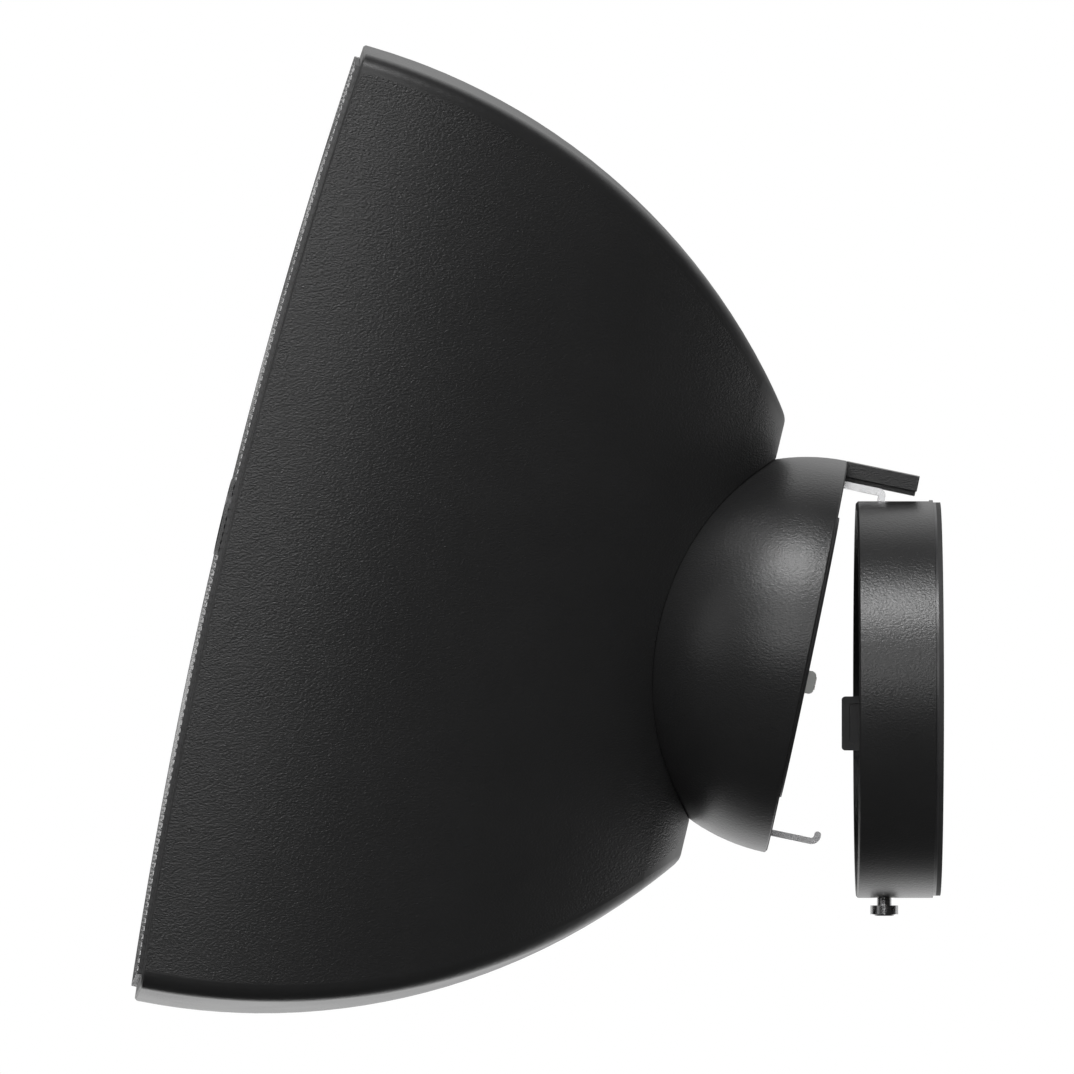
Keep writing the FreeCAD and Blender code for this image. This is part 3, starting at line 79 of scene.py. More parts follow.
# Where the grain starts to fade below the cabinet's crowned top, and where it has faded
EDGE_SKIN = 0.1 * MM
EDGE_FADE = 0.4 * MM
# The grain: how it is drawn out, how much its cells add to its pebbles, and its middle height
GRAIN_STRETCH = (0.7, 0.7, 1.15)
CELL_SHARE = 0.6
GRAIN_MIDDLE = 0.75
# How much the gloss drifts over grained plastic, drawn metal and the other finishes
GRAIN_GLOSS_DRIFT = 0.03
LINE_GLOSS_DRIFT = 0.06
GLOSS_DRIFT = 0.05
# How deep the lines of drawn metal, a weave and wound wire are
LINE_DEPTH = 0.004 * MM
WEAVE_DEPTH = 0.05 * MM
WIRE_DEPTH = 0.08 * MM

# Where each lamp stands, the point that it faces, its width and its height
OBJECT_MIDDLE = (-0.15, 0, 0.06)
LAMPS = {
    "key": ((-0.22, -0.92, 1.33), OBJECT_MIDDLE, 0.6, 0.45),
    "fill": ((-0.3, -1.25, 0.36), (-0.25, -0.1, 0.12), 0.7, 0.4),
    "soft": ((-0.2, -1.6, 1.5), OBJECT_MIDDLE, 2.0, 0.9),
    "strip": ((0.0, -1.2, -0.02), (-0.03, 0, -0.02), 0.06, 0.35),
}
# What mirrored rays find: each fade runs from one heading to another, between two levels
BACKDROP_FADE = (0.1, 0.55, 0.02, 1.2)
BACKDROP_FOOT_FADE = (0.1, 0.7, 0.45, 1.0)
LEFT_WALL_FADE = (-0.5, -0.9, 0.0, 1.0)
LEFT_WALL_FOOT_FADE = (-0.1, 0.2, 0.0, 1.0)
# What every other ray finds
AMBIENT = 0.75
# The floor: how far it reaches, its tones, and its fade for mirrored rays, from front to back
FLOOR_REACH = 3.0
FLOOR_TONES = ((0.84, 0.84, 0.84, 1), (0.87, 0.87, 0.87, 1))
FLOOR_ROUGHNESS = 0.9
FLOOR_FADE = (0.15, 0.6, 0.02, 1.6)

# Socket types of node groups
FLOAT = "NodeSocketFloat"
VECTOR = "NodeSocketVector"
# A Mix node has sockets for each kind of data: these are its share, its two colours and their result
MIX_COLOUR_INPUTS = (0, 6, 7)
MIX_COLOUR_RESULT = 2


# Frame of the cabinet, read from the joints

def tilted_frame(along):
    """A frame on the ball's centre whose X axis runs along the given direction, level in Y."""
    ahead = Vector(along).normalized()
    across = Vector((0, 1, 0))
    up = ahead.cross(across)
    turn = Matrix((ahead, across, up)).transposed().to_4x4()
    return Matrix.Translation(JOINTS["tilt"]["pos_m"]) @ turn


CABINET = tilted_frame(JOINTS["woofer_excursion"]["axis"])


def box_in(place, node):
    """Lowest and highest corner of a node's mesh, measured in a tilted frame."""
    inverse = place.inverted()
    points = [inverse @ vertex.co for vertex in frame["nodes"][node].data.vertices]
    low = Vector(min(point[axis] for point in points) for axis in range(3))
    high = Vector(max(point[axis] for point in points) for axis in range(3))
    return low, high


# Settings that a user would change

class SpeakerGrilleSettings(bpy.types.PropertyGroup):
    """Sizes of the perforated sheet, its wall and its badge."""

    pitch: bpy.props.FloatProperty(
        name="Hole pitch", description="Distance between holes in a column", default=2.85 * MM,
        unit="LENGTH", precision=5,
    )
    hole: bpy.props.FloatProperty(
        name="Hole radius", description="Radius of one hole", default=1.08 * MM, unit="LENGTH", precision=5,
    )
    sheet: bpy.props.FloatProperty(
        name="Sheet", description="Thickness of the sheet", default=0.01 * MM, unit="LENGTH", precision=5,
    )
    bow: bpy.props.FloatProperty(
        name="Bow", description="Radius of the ball that the front follows", default=2.0, unit="LENGTH",
    )
    crown: bpy.props.FloatProperty(
        name="Crown", description="Radius of the top and bottom edges", default=0.948, unit="LENGTH",
    )
    turned_edge: bpy.props.FloatProperty(
        name="Turned edge", description="How far the edge turns back", default=5.0 * MM, unit="LENGTH",
        precision=5,
    )
    wall: bpy.props.FloatProperty(
        name="Wall", description="Thickness of the solid wall inside the turned edge", default=0.8 * MM,
        unit="LENGTH", precision=5,
    )
    wall_gap: bpy.props.FloatProperty(
        name="Wall gap", description="Room between the wall and the perforated sheet", default=0.4 * MM,
        unit="LENGTH", precision=5,
    )
    badge: bpy.props.FloatProperty(
        name="Badge", description="How far the badge stands out", default=0.5 * MM, unit="LENGTH",
        precision=5,
    )
    badge_post: bpy.props.FloatProperty(
        name="Badge post", description="How far the badge reaches behind the sheet", default=4.2 * MM,
        unit="LENGTH", precision=5,
    )
    badge_rim: bpy.props.FloatProperty(
        name="Badge rim", description="Width of the badge's raised rim", default=1.2 * MM, unit="LENGTH",
        precision=5,
    )


class SpeakerFinishSettings(bpy.types.PropertyGroup):
    """Colours and grain of the finishes, and the form of the edges that the grain leaves out."""

    plastic: bpy.props.FloatVectorProperty(
        name="Plastic", description="Colour of the moulded shells", subtype="COLOR", size=4, min=0, max=1,
        default=(0.009, 0.009, 0.0092, 1),
    )
    plug: bpy.props.FloatVectorProperty(
        name="Plug", description="Colour of the contact plug", subtype="COLOR", size=4, min=0, max=1,
        default=(0.86, 0.87, 0.84, 1),
    )
    grain: bpy.props.FloatProperty(
        name="Grain", description="Size of one grain of the moulded texture", default=0.66 * MM,
        unit="LENGTH", precision=5,
    )
    crown: bpy.props.FloatProperty(
        name="Crown", description="Radius of the cabinet's top from side to side", default=0.953,
        unit="LENGTH",
    )
    arc: bpy.props.FloatProperty(
        name="Arc", description="Radius of the cabinet's top from front to back", default=0.2307,
        unit="LENGTH",
    )
    edge: bpy.props.FloatProperty(
        name="Edge", description="Radius of the cabinet's rounded edges", default=6.5 * MM, unit="LENGTH",
        precision=5,
    )


class SpeakerStageSettings(bpy.types.PropertyGroup):
    """The camera, the floor and the power of the lamps."""

    distance: bpy.props.FloatProperty(
        name="Camera distance", description="From the camera to the symmetry plane", default=7.1,
        unit="LENGTH",
    )
    look_up: bpy.props.FloatProperty(
        name="Look up", description="How steeply the camera looks up", default=math.radians(0.75),
        subtype="ANGLE",
    )
    floor_drop: bpy.props.FloatProperty(
        name="Floor", description="How far the floor lies below the origin", default=0.6, unit="LENGTH",
    )
    key_power: bpy.props.FloatProperty(
        name="Key lamp", description="Power of the lamp up in front", default=18.0, unit="POWER",
    )
    fill_power: bpy.props.FloatProperty(
        name="Fill lamp", description="Power of the soft lamp beside the camera", default=3.8, unit="POWER",
    )
    soft_power: bpy.props.FloatProperty(
        name="Soft lamp", description="Power of the wide lamp above the camera", default=7.0, unit="POWER",
    )
    strip_power: bpy.props.FloatProperty(
        name="Strip lamp", description="Power of the narrow lamp that bare metal mirrors", default=0.06,
        unit="POWER",
    )


# Node helpers

def set_input(tree, socket, value):
    """Links a socket to another one, or sets it to a plain value."""
    if isinstance(value, bpy.types.NodeSocket):
        tree.links.new(value, socket)
    else:
        socket.default_value = value


def add_node(tree, kind, inputs=None, **settings):
    """Adds a node with its settings, and links or sets its inputs."""
    node = tree.nodes.new(kind)
    for name, value in settings.items():
        setattr(node, name, value)
    for name, value in (inputs or {}).items():
        set_input(tree, node.inputs[name], value)
    return node


def calculate(tree, operation, *values):
    """The result of one Math node, on plain values or sockets."""
    node = add_node(tree, "ShaderNodeMath", operation=operation)
    for socket, value in zip(node.inputs, values):
        set_input(tree, socket, value)
    return node.outputs[0]


def hypotenuse(tree, first, second):
    """The length of a right triangle's long side."""
    squares = calculate(tree, "MULTIPLY_ADD", first, first, calculate(tree, "MULTIPLY", second, second))
    return calculate(tree, "SQRT", squares)


def remap(tree, value, low, high, new_low=0.0, new_high=1.0):
    """A value led smoothly from one range to another, and held at its ends."""
    node = add_node(tree, "ShaderNodeMapRange", {
        "Value": value, "From Min": low, "From Max": high, "To Min": new_low, "To Max": new_high,
    }, interpolation_type="SMOOTHSTEP")
    return node.outputs["Result"]


def swing(tree, pattern, span, middle, reach):
    """A pattern that lies within a span of a half, turned into values within reach of a middle."""
    return remap(tree, pattern, 0.5 - span, 0.5 + span, middle - reach, middle + reach)


def noise(tree, vector, scale, detail):
    """A cloudy pattern about a half."""
    node = add_node(tree, "ShaderNodeTexNoise", {"Vector": vector, "Scale": scale, "Detail": detail})
    return node.outputs["Fac"]


def mix_colours(tree, share, first, second):
    """The first colour where the share is 0, the second where it is 1."""
    node = add_node(tree, "ShaderNodeMix", data_type="RGBA")
    for index, value in zip(MIX_COLOUR_INPUTS, (share, first, second)):
        set_input(tree, node.inputs[index], value)
    return node.outputs[MIX_COLOUR_RESULT]


def object_coordinates(tree):
    """The place of a point in its piece, which is its place in the frame."""
    return add_node(tree, "ShaderNodeTexCoord").outputs["Object"]


# Effects that several finishes share

def new_group(name, inputs, outputs):
    """A shader node group and its two ends, from pairs of a socket's name and type."""
    tree = bpy.data.node_groups.new(name, "ShaderNodeTree")
    for direction, sockets in (("INPUT", inputs), ("OUTPUT", outputs)):
        for label, kind in sockets:
            tree.interface.new_socket(label, in_out=direction, socket_type=kind)
    return tree, tree.nodes.new("NodeGroupInput"), tree.nodes.new("NodeGroupOutput")


def use_group(tree, name, vector, **values):
    """Places a group on the given coordinates, with its own values, and gives its outputs."""
    inputs = {"Vector": vector, **values}
    return add_node(tree, "ShaderNodeGroup", inputs, node_tree=bpy.data.node_groups[name]).outputs


def grain_group():
    """Fine leather-like grain of moulded plastic: a height, and a faint change of gloss."""
    tree, given, made = new_group(
        "moulded_grain", [("Vector", VECTOR), ("Scale", FLOAT)], [("Height", FLOAT), ("Roughness", FLOAT)],
    )
    vector = given.outputs["Vector"]
    scale = given.outputs["Scale"]
    stretched = add_node(tree, "ShaderNodeMapping", {"Vector": vector, "Scale": GRAIN_STRETCH}).outputs[0]
    pebbles = add_node(tree, "ShaderNodeTexNoise", {
        "Vector": stretched, "Scale": scale, "Detail": 2.0, "Roughness": 0.5, "Distortion": 0.6,
    })
    cells = add_node(tree, "ShaderNodeTexVoronoi", {
        "Vector": stretched, "Scale": scale, "Randomness": 1.0,
    }, feature="SMOOTH_F1")
    height = calculate(tree, "MULTIPLY_ADD", cells.outputs["Distance"], CELL_SHARE, pebbles.outputs["Fac"])
    tree.links.new(calculate(tree, "SUBTRACT", height, GRAIN_MIDDLE), made.inputs["Height"])
    broad = noise(tree, vector, scale=14.0, detail=3.0)
    gloss = swing(tree, broad, span=0.2, middle=0.0, reach=GRAIN_GLOSS_DRIFT)
    tree.links.new(gloss, made.inputs["Roughness"])


def rounded_edge_group():
    """1 on the rounded edges between the cabinet's sides and its crowned top and bottom, else 0."""
    settings = bpy.context.scene.speaker_finish
    low, high = box_in(CABINET, "enclosure")
    tree, given, made = new_group("rounded_edge", [("Vector", VECTOR)], [("Mask", FLOAT)])
    inside = add_node(tree, "ShaderNodeMapping", {
        "Vector": given.outputs["Vector"], "Location": CABINET.translation, "Rotation": CABINET.to_euler(),
    }, vector_type="TEXTURE")
    place = add_node(tree, "ShaderNodeSeparateXYZ", {0: inside.outputs[0]}).outputs
    # The top is an arc from front to back, turned about the centre of the crown
    height = calculate(tree, "ABSOLUTE", place["Z"])
    ring = hypotenuse(tree, place["Y"], calculate(tree, "SUBTRACT", height, high.z - settings.crown))
    forward = calculate(tree, "SUBTRACT", place["X"], low.x)
    outward = calculate(tree, "SUBTRACT", ring, settings.crown - settings.arc)
    depth = calculate(tree, "SUBTRACT", settings.arc, hypotenuse(tree, forward, outward))
    begun = remap(tree, depth, EDGE_SKIN, EDGE_FADE)
    ended = remap(tree, depth, settings.edge - EDGE_FADE, settings.edge)
    tree.links.new(calculate(tree, "SUBTRACT", begun, ended), made.inputs["Mask"])


def drawn_lines_group():
    """Fine lines of drawn metal, as a height and a change of gloss."""
    tree, given, made = new_group(
        "drawn_lines", [("Vector", VECTOR), ("Stretch", VECTOR)], [("Height", FLOAT), ("Roughness", FLOAT)],
    )
    stretched = add_node(tree, "ShaderNodeVectorMath", {
        0: given.outputs["Vector"], 1: given.outputs["Stretch"],
    }, operation="MULTIPLY")
    lines = noise(tree, stretched.outputs[0], scale=1.0, detail=4.0)
    tree.links.new(lines, made.inputs["Height"])
    gloss = swing(tree, lines, span=0.25, middle=0.0, reach=LINE_GLOSS_DRIFT)
    tree.links.new(gloss, made.inputs["Roughness"])


# Finishes

def new_material(name, metallic=0.0, roughness=0.5):
    """A material, its node tree and its Principled shader with plain values."""
    material = bpy.data.materials.new(name)
    material.use_nodes = True
    shader = material.node_tree.nodes["Principled BSDF"]
    shader.inputs["Metallic"].default_value = metallic
    shader.inputs["Roughness"].default_value = roughness
    return material, material.node_tree, shader


def bump(tree, shader, height, depth, rounding=None):
    """Lets a height tilt the surface, over edges that may look slightly rounded."""
    node = add_node(tree, "ShaderNodeBump", {"Height": height, "Distance": depth})
    if rounding:
        soft = add_node(tree, "ShaderNodeBevel", {"Radius": rounding}, samples=EDGE_GLINT_SAMPLES)
        tree.links.new(soft.outputs["Normal"], node.inputs["Normal"])
    tree.links.new(node.outputs["Normal"], shader.inputs["Normal"])


def scaled(colour, factor):
    """A darker or lighter colour, no brighter than white."""
    return [min(channel * factor, 1) for channel in colour[:3]] + [1]


def drift_colour(tree, shader, pattern, colour, darker, lighter):
    """Lets the base colour drift between two scaled tones."""
    mixed = mix_colours(tree, pattern, scaled(colour, darker), scaled(colour, lighter))
    tree.links.new(mixed, shader.inputs["Base Color"])


def drift_finish(tree, shader, vector, scale, colour, change, roughness):
    """Lets a colour and a roughness drift together over the surface."""
    pattern = noise(tree, vector, scale, detail=4.0)
    drift_colour(tree, shader, pattern, colour, 1 - change, 1 + change)
    gloss = swing(tree, pattern, span=0.3, middle=roughness, reach=GLOSS_DRIFT)
    tree.links.new(gloss, shader.inputs["Roughness"])


def moulded_plastic(name, colour, roughness, grain_height, smooth_edge=False):
    """Moulded plastic with a fine grain, which may leave out the cabinet's rounded edges."""
    material, tree, shader = new_material(name)
    vector = object_coordinates(tree)
    grain = use_group(tree, "moulded_grain", vector, Scale=1 / bpy.context.scene.speaker_finish.grain)
    pattern = noise(tree, vector, scale=60.0, detail=5.0)
    drift_colour(tree, shader, pattern, colour, darker=0.88, lighter=1.12)
    tree.links.new(calculate(tree, "ADD", grain["Roughness"], roughness), shader.inputs["Roughness"])
    height = grain["Height"]
    if smooth_edge:
        edge = use_group(tree, "rounded_edge", vector)
        height = calculate(tree, "MULTIPLY", height, calculate(tree, "SUBTRACT", 1.0, edge["Mask"]))
    bump(tree, shader, height, grain_height, rounding=EDGE_GLINT)
    return material


def drawn_metal(name, colour, roughness, stretch):
    """Sheet or turned metal with fine lines, the closer along an axis the larger its stretch."""
    material, tree, shader = new_material(name, metallic=1.0)
    vector = object_coordinates(tree)
    lines = use_group(tree, "drawn_lines", vector, Stretch=stretch)
    pattern = noise(tree, vector, scale=120.0, detail=4.0)
    drift_colour(tree, shader, pattern, colour, darker=0.93, lighter=1.0)
    tree.links.new(calculate(tree, "ADD", lines["Roughness"], roughness), shader.inputs["Roughness"])
    bump(tree, shader, lines["Height"], LINE_DEPTH)
    return material


def plain_finish(name, colour, roughness, change=0.12, metallic=0.0, scale=80.0, depth=0.01 * MM):
    """A smooth or cast finish: a colour and gloss that drift, and a faint unevenness."""
    material, tree, shader = new_material(name, metallic=metallic)
    vector = object_coordinates(tree)
    drift_finish(tree, shader, vector, scale, colour, change, roughness)
    bump(tree, shader, noise(tree, vector, scale=scale * 20, detail=3.0), depth)
    return material


def woven_cloth(name, colour):
    """A stiffened weave."""
    material, tree, shader = new_material(name)
    vector = object_coordinates(tree)
    drift_finish(tree, shader, vector, scale=300.0, colour=colour, change=0.25, roughness=0.85)
    threads = [
        add_node(tree, "ShaderNodeTexWave", {"Vector": vector, "Scale": 400.0}, bands_direction=axis)
        for axis in ("Y", "Z")
    ]
    height = calculate(tree, "MAXIMUM", *[thread.outputs["Fac"] for thread in threads])
    bump(tree, shader, height, WEAVE_DEPTH)
    return material


def wound_wire(name, colour):
    """Enamelled wire wound about the X axis."""
    material, tree, shader = new_material(name, metallic=1.0)
    vector = object_coordinates(tree)
    drift_finish(tree, shader, vector, scale=200.0, colour=colour, change=0.2, roughness=0.35)
    turns = add_node(tree, "ShaderNodeTexWave", {"Vector": vector, "Scale": 500.0}, bands_direction="X")
    bump(tree, shader, turns.outputs["Fac"], WIRE_DEPTH)
    return material


def moulded_finishes():
    """Finishes of the moulded slots, and the enclosure's own, under its node's name."""
    settings = bpy.context.scene.speaker_finish
    black = list(settings.plastic)
    return {
        "enclosure": moulded_plastic(
            "grained_cabinet", black, roughness=0.38, grain_height=0.17 * MM, smooth_edge=True),
        "black_plastic": moulded_plastic(
            "grained_black_plastic", black, roughness=0.36, grain_height=0.08 * MM),
        "inner_plastic": moulded_plastic(
            "inner_black_plastic", (0.024, 0.024, 0.025, 1), roughness=0.48, grain_height=0.02 * MM),
        "plug_plastic": plain_finish(
            "pale_plug_plastic", list(settings.plug), roughness=0.38, change=0.1, scale=300.0),
    }


def metal_finishes():
    """Finishes of the coated, drawn and cast metal slots."""
    return {
        "grille_metal": plain_finish(
            "black_grille_coat", (0.022, 0.022, 0.0225, 1), roughness=0.42, depth=0.006 * MM),
        "black_steel": plain_finish("black_coated_steel", (0.018, 0.018, 0.019, 1), roughness=0.36),
        "badge_metal": drawn_metal(
            "satin_badge", (0.05, 0.05, 0.052, 1), roughness=0.3, stretch=(60.0, 900.0, 60.0)),
        "bright_steel": drawn_metal(
            "bright_plated_steel", (0.78, 0.78, 0.79, 1), roughness=0.24, stretch=(200.0, 3000.0, 200.0)),
        "screw_steel": drawn_metal(
            "blackened_steel", (0.09, 0.09, 0.092, 1), roughness=0.34, stretch=(400.0, 400.0, 400.0)),
        "cast_saddle": plain_finish("cast_alloy", (0.5, 0.5, 0.51, 1), roughness=0.5, metallic=1.0),
        "contact_nickel": drawn_metal(
            "nickel_contact", (0.72, 0.71, 0.67, 1), roughness=0.25, stretch=(600.0, 600.0, 200.0)),
        "insert_brass": drawn_metal(
            "plain_brass", (0.8, 0.6, 0.28, 1), roughness=0.25, stretch=(600.0, 600.0, 200.0)),
    }


def inner_finishes():
    """Finishes of the seals, the drivers and the crossover."""
    return {
        "black_rubber": plain_finish("black_rubber", (0.012, 0.012, 0.012, 1), roughness=0.72, change=0.2),
        "ferrite": plain_finish(
            "sintered_ferrite", (0.04, 0.04, 0.043, 1), roughness=0.65, change=0.2, scale=200.0),
        "cone_fibre": plain_finish(
            "pressed_fibre", (0.03, 0.03, 0.031, 1), roughness=0.7, change=0.25, scale=150.0,
            depth=0.05 * MM),
        "spider_cloth": woven_cloth("spider_cloth", (0.55, 0.42, 0.2, 1)),
        "copper_wire": wound_wire("enamelled_copper", (0.75, 0.36, 0.2, 1)),
        "board_resin": plain_finish("board_resin", (0.03, 0.14, 0.06, 1), roughness=0.35, change=0.15),
        "capacitor_film": plain_finish(
            "capacitor_sleeve", (0.06, 0.08, 0.25, 1), roughness=0.3, change=0.1),
    }


class SPEAKER_OT_finish_nodes(bpy.types.Operator):
    """Gives every carried-over sub-part its finish."""

    bl_idname = "speaker.finish_nodes"
    bl_label = "Finish Sub-parts"

    def execute(self, context):
        grain_group()
        rounded_edge_group()
        drawn_lines_group()
        made = {**moulded_finishes(), **metal_finishes(), **inner_finishes()}
        for row in frame["record"]["subparts"]:
            node = frame["nodes"][row["node"]]
            node.data.materials.clear()
            # A finish under the node's own name comes before its slot's
            node.data.materials.append(made.get(row["node"], made[row["material_slot"]]))
        return {"FINISHED"}


def add_piece(name, mesh, body, material):
    """Makes a finished bmesh a piece that rides on a body."""
    data = bpy.data.meshes.new(name)
    mesh.to_mesh(data)
    mesh.free()
    data.materials.append(bpy.data.materials[material])
    piece = bpy.data.objects.new(name, data)
    bpy.context.scene.collection.objects.link(piece)
    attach(piece, body)
    return piece


# Perforated grille

def everything(mesh):
    """All that a mesh holds."""
    return mesh.verts[:] + mesh.edges[:] + mesh.faces[:]


def new_verts(made):
    """The vertices that an operator has made."""
    return [item for item in made["geom"] if isinstance(item, bmesh.types.BMVert)]


def repeat(mesh, step, count):
    """Repeats everything in the mesh, one step further each time."""
    bmesh.ops.spin(mesh, geom=everything(mesh), cent=(0, 0, 0), axis=(1, 0, 0), dvec=step, angle=0,
                   steps=count, use_duplicate=True)


def perforated_field(pitch, hole, half_width, half_height):
    """A flat field of hexagonal cells, each with a hole, in the Y-Z plane about the origin."""
    mesh = bmesh.new()
    flat = FACING_FRONT @ Matrix.Rotation(math.radians(90), 4, "Z")
    for radius in (pitch / math.sqrt(3), hole):
        bmesh.ops.create_circle(mesh, segments=HEX_SIDES, radius=radius, matrix=flat)
    bmesh.ops.bridge_loops(mesh, edges=mesh.edges)
    column = pitch * math.sqrt(3) / 2
    rows = math.ceil(half_height / pitch) + 1
    columns = math.ceil(half_width / column) // 2 + 1
    staggered = new_verts(bmesh.ops.duplicate(mesh, geom=everything(mesh)))
    bmesh.ops.translate(mesh, verts=staggered, vec=(0, column, pitch / 2))
    repeat(mesh, (0, 0, pitch), 2 * rows)
    repeat(mesh, (0, 2 * column, 0), 2 * columns)
    bmesh.ops.translate(mesh, verts=mesh.verts, vec=(0, -2 * column * columns, -pitch * rows))
    bmesh.ops.remove_doubles(mesh, verts=mesh.verts, dist=WELD)
    return mesh


def trim(mesh, planes):
    """Cuts away what lies outside each (point, normal) plane."""
    for point, normal in planes:
        bmesh.ops.bisect_plane(mesh, geom=everything(mesh), dist=CUT_TOLERANCE, plane_co=point,
                               plane_no=normal, clear_outer=True)


def crowned_edge(half_width, half_height, radius, side):
    """Planes that follow the crowned top or bottom edge."""
    reach = math.asin(half_width / radius)
    centre = Vector((0, 0, side * (half_height - radius)))
    planes = []
    for step in range(CROWN_STEPS):
        angle = reach * (2 * (step + 0.5) / CROWN_STEPS - 1)
        normal = Vector((0, math.sin(angle), side * math.cos(angle)))
        planes.append((centre + normal * radius, normal))
    return planes


def grille_border(half_width, half_height, crown):
    """Planes round the grille's outline: two straight sides and two crowned ends."""
    border = [(Vector((0, side * half_width, 0)), Vector((0, side, 0))) for side in (-1, 1)]
    for side in (-1, 1):
        border += crowned_edge(half_width, half_height, crown, side)
    return border


def on_planes(edge, planes):
    """Whether an edge lies along one of the planes."""
    return any(all(abs((vertex.co - point).dot(normal)) < WELD for vertex in edge.verts)
               for point, normal in planes)


def sag(bow, place):
    """How far the bowed front lies behind its middle at a place."""
    return bow - math.sqrt(bow ** 2 - place.y ** 2 - place.z ** 2)


class SPEAKER_OT_grille(bpy.types.Operator):
    """Makes the perforated sheet, bowed and turned back along its edge, as three bands."""

    bl_idname = "speaker.grille"
    bl_label = "Grille"

    def execute(self, context):
        settings = context.scene.speaker_grille
        low, high = box_in(CABINET, "grille")
        border = grille_border(high.y, high.z, settings.crown)
        whole = perforated_field(settings.pitch, settings.hole, high.y, high.z)
        trim(whole, border)
        edge = [item for item in whole.edges if item.is_boundary and on_planes(item, border)]
        turned = new_verts(bmesh.ops.extrude_edge_only(whole, edges=edge))
        bmesh.ops.translate(whole, verts=turned, vec=(settings.turned_edge, 0, 0))
        # Bands of equal height keep each piece light enough
        seam = high.z / 3
        bands = {
            "grille_upper": (seam, high.z),
            "grille_middle": (-seam, seam),
            "grille_lower": (low.z, -seam),
        }
        for name, (bottom, top) in bands.items():
            mesh = whole.copy()
            trim(mesh, [((0, 0, bottom - WELD), (0, 0, -1)), ((0, 0, top + WELD), (0, 0, 1))])
            for vertex in mesh.verts:
                vertex.co.x += low.x + sag(settings.bow, vertex.co)
            bmesh.ops.recalc_face_normals(mesh, faces=mesh.faces)
            bmesh.ops.solidify(mesh, geom=mesh.faces[:], thickness=settings.sheet)
            bmesh.ops.transform(mesh, matrix=CABINET, verts=mesh.verts)
            piece = add_piece(name, mesh, "cabinet", "black_grille_coat")
            if name == "grille_upper":
                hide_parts("grille")
        whole.free()
        return {"FINISHED"}


class SPEAKER_OT_grille_wall(bpy.types.Operator):
    """Makes the solid wall that carries the perforated sheet and stands on the baffle."""

    bl_idname = "speaker.grille_wall"
    bl_label = "Grille Wall"

    def execute(self, context):
        settings = context.scene.speaker_grille
        low, high = box_in(CABINET, "grille")
        mesh = bmesh.new()
        bmesh.ops.create_grid(mesh, x_segments=WALL_STEPS, y_segments=WALL_STEPS, size=2 * high.z,
                              matrix=FACING_FRONT)
        trim(mesh, grille_border(high.y - settings.wall_gap, high.z - settings.wall_gap, settings.crown))
        sheet = mesh.faces[:]
        outline = [item for item in mesh.edges if item.is_boundary]
        back = new_verts(bmesh.ops.extrude_edge_only(mesh, edges=outline))
        bmesh.ops.delete(mesh, geom=sheet, context="FACES")
        for vertex in mesh.verts:
            vertex.co.x = low.x + settings.wall_gap + sag(settings.bow, vertex.co)
        for vertex in back:
            vertex.co.x = high.x
        bmesh.ops.recalc_face_normals(mesh, faces=mesh.faces)
        bmesh.ops.solidify(mesh, geom=mesh.faces[:], thickness=settings.wall)
        bmesh.ops.transform(mesh, matrix=CABINET, verts=mesh.verts)
        add_piece("grille_wall", mesh, "cabinet", "black_grille_coat")
        return {"FINISHED"}


class SPEAKER_OT_badge(bpy.types.Operator):
    """Makes the blank badge, almost flush with the grille, with a raised rim and a post behind it."""

    bl_idname = "speaker.badge"
    bl_label = "Badge"

    def execute(self, context):
        settings = context.scene.speaker_grille
        low, high = box_in(CABINET, "badge")
        radius = (high.y - low.y) / 2
        front = high.x - settings.badge
        depth = settings.badge + settings.badge_post
        rounding = settings.badge / 2
        recess = settings.badge / 4
        middle = Vector((front + depth / 2, (low.y + high.y) / 2, (low.z + high.z) / 2))
        mesh = bmesh.new()
        bmesh.ops.create_cone(mesh, cap_ends=True, segments=BADGE_SIDES, radius1=radius, radius2=radius,
                              depth=depth, matrix=Matrix.Translation(middle) @ FACING_FRONT)
        edge = [item for item in mesh.edges if all(vertex.co.x < front + WELD for vertex in item.verts)]
        bmesh.ops.bevel(mesh, geom=edge, offset=rounding, affect="EDGES", segments=BADGE_EDGE_STEPS,
                        profile=0.5, material=-1)
        face = min(mesh.faces, key=lambda item: item.calc_center_median().x)
        bmesh.ops.inset_region(mesh, faces=[face], thickness=settings.badge_rim, depth=-recess)
        bmesh.ops.transform(mesh, matrix=CABINET, verts=mesh.verts)
        piece = add_piece("badge_disc", mesh, "cabinet", "satin_badge")
        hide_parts("badge")
        return {"FINISHED"}


# Stage

def side_camera(distance, look_up):
    """The photograph's camera, at the side of the object and a little below its middle."""
    data = bpy.data.cameras.new("camera")
    data.lens = data.sensor_width * distance / (PHOTO_PIXELS * PIXEL)
    camera = bpy.data.objects.new("camera", data)
    middle = PHOTO_PIXELS / 2
    target = Vector(((middle - ORIGIN_PIXEL[0]) * PIXEL, 0, (ORIGIN_PIXEL[1] - middle) * PIXEL))
    camera.location = target - distance * Vector((0, math.cos(look_up), math.sin(look_up)))
    camera.rotation_euler = (math.radians(90) + look_up, 0, 0)
    bpy.context.scene.collection.objects.link(camera)
    bpy.context.scene.camera = camera


def area_lamp(name, place, target, width, height, power):
    """A rectangular lamp that the camera doesn't see."""
    data = bpy.data.lights.new(name, "AREA")
    data.shape = "RECTANGLE"
    data.size = width
    data.size_y = height
    data.energy = power
    lamp = bpy.data.objects.new(name, data)
    lamp.location = place
    lamp.visible_camera = False
    lamp.rotation_euler = (Vector(target) - Vector(place)).to_track_quat("-Z", "Y").to_euler()
    bpy.context.scene.collection.objects.link(lamp)


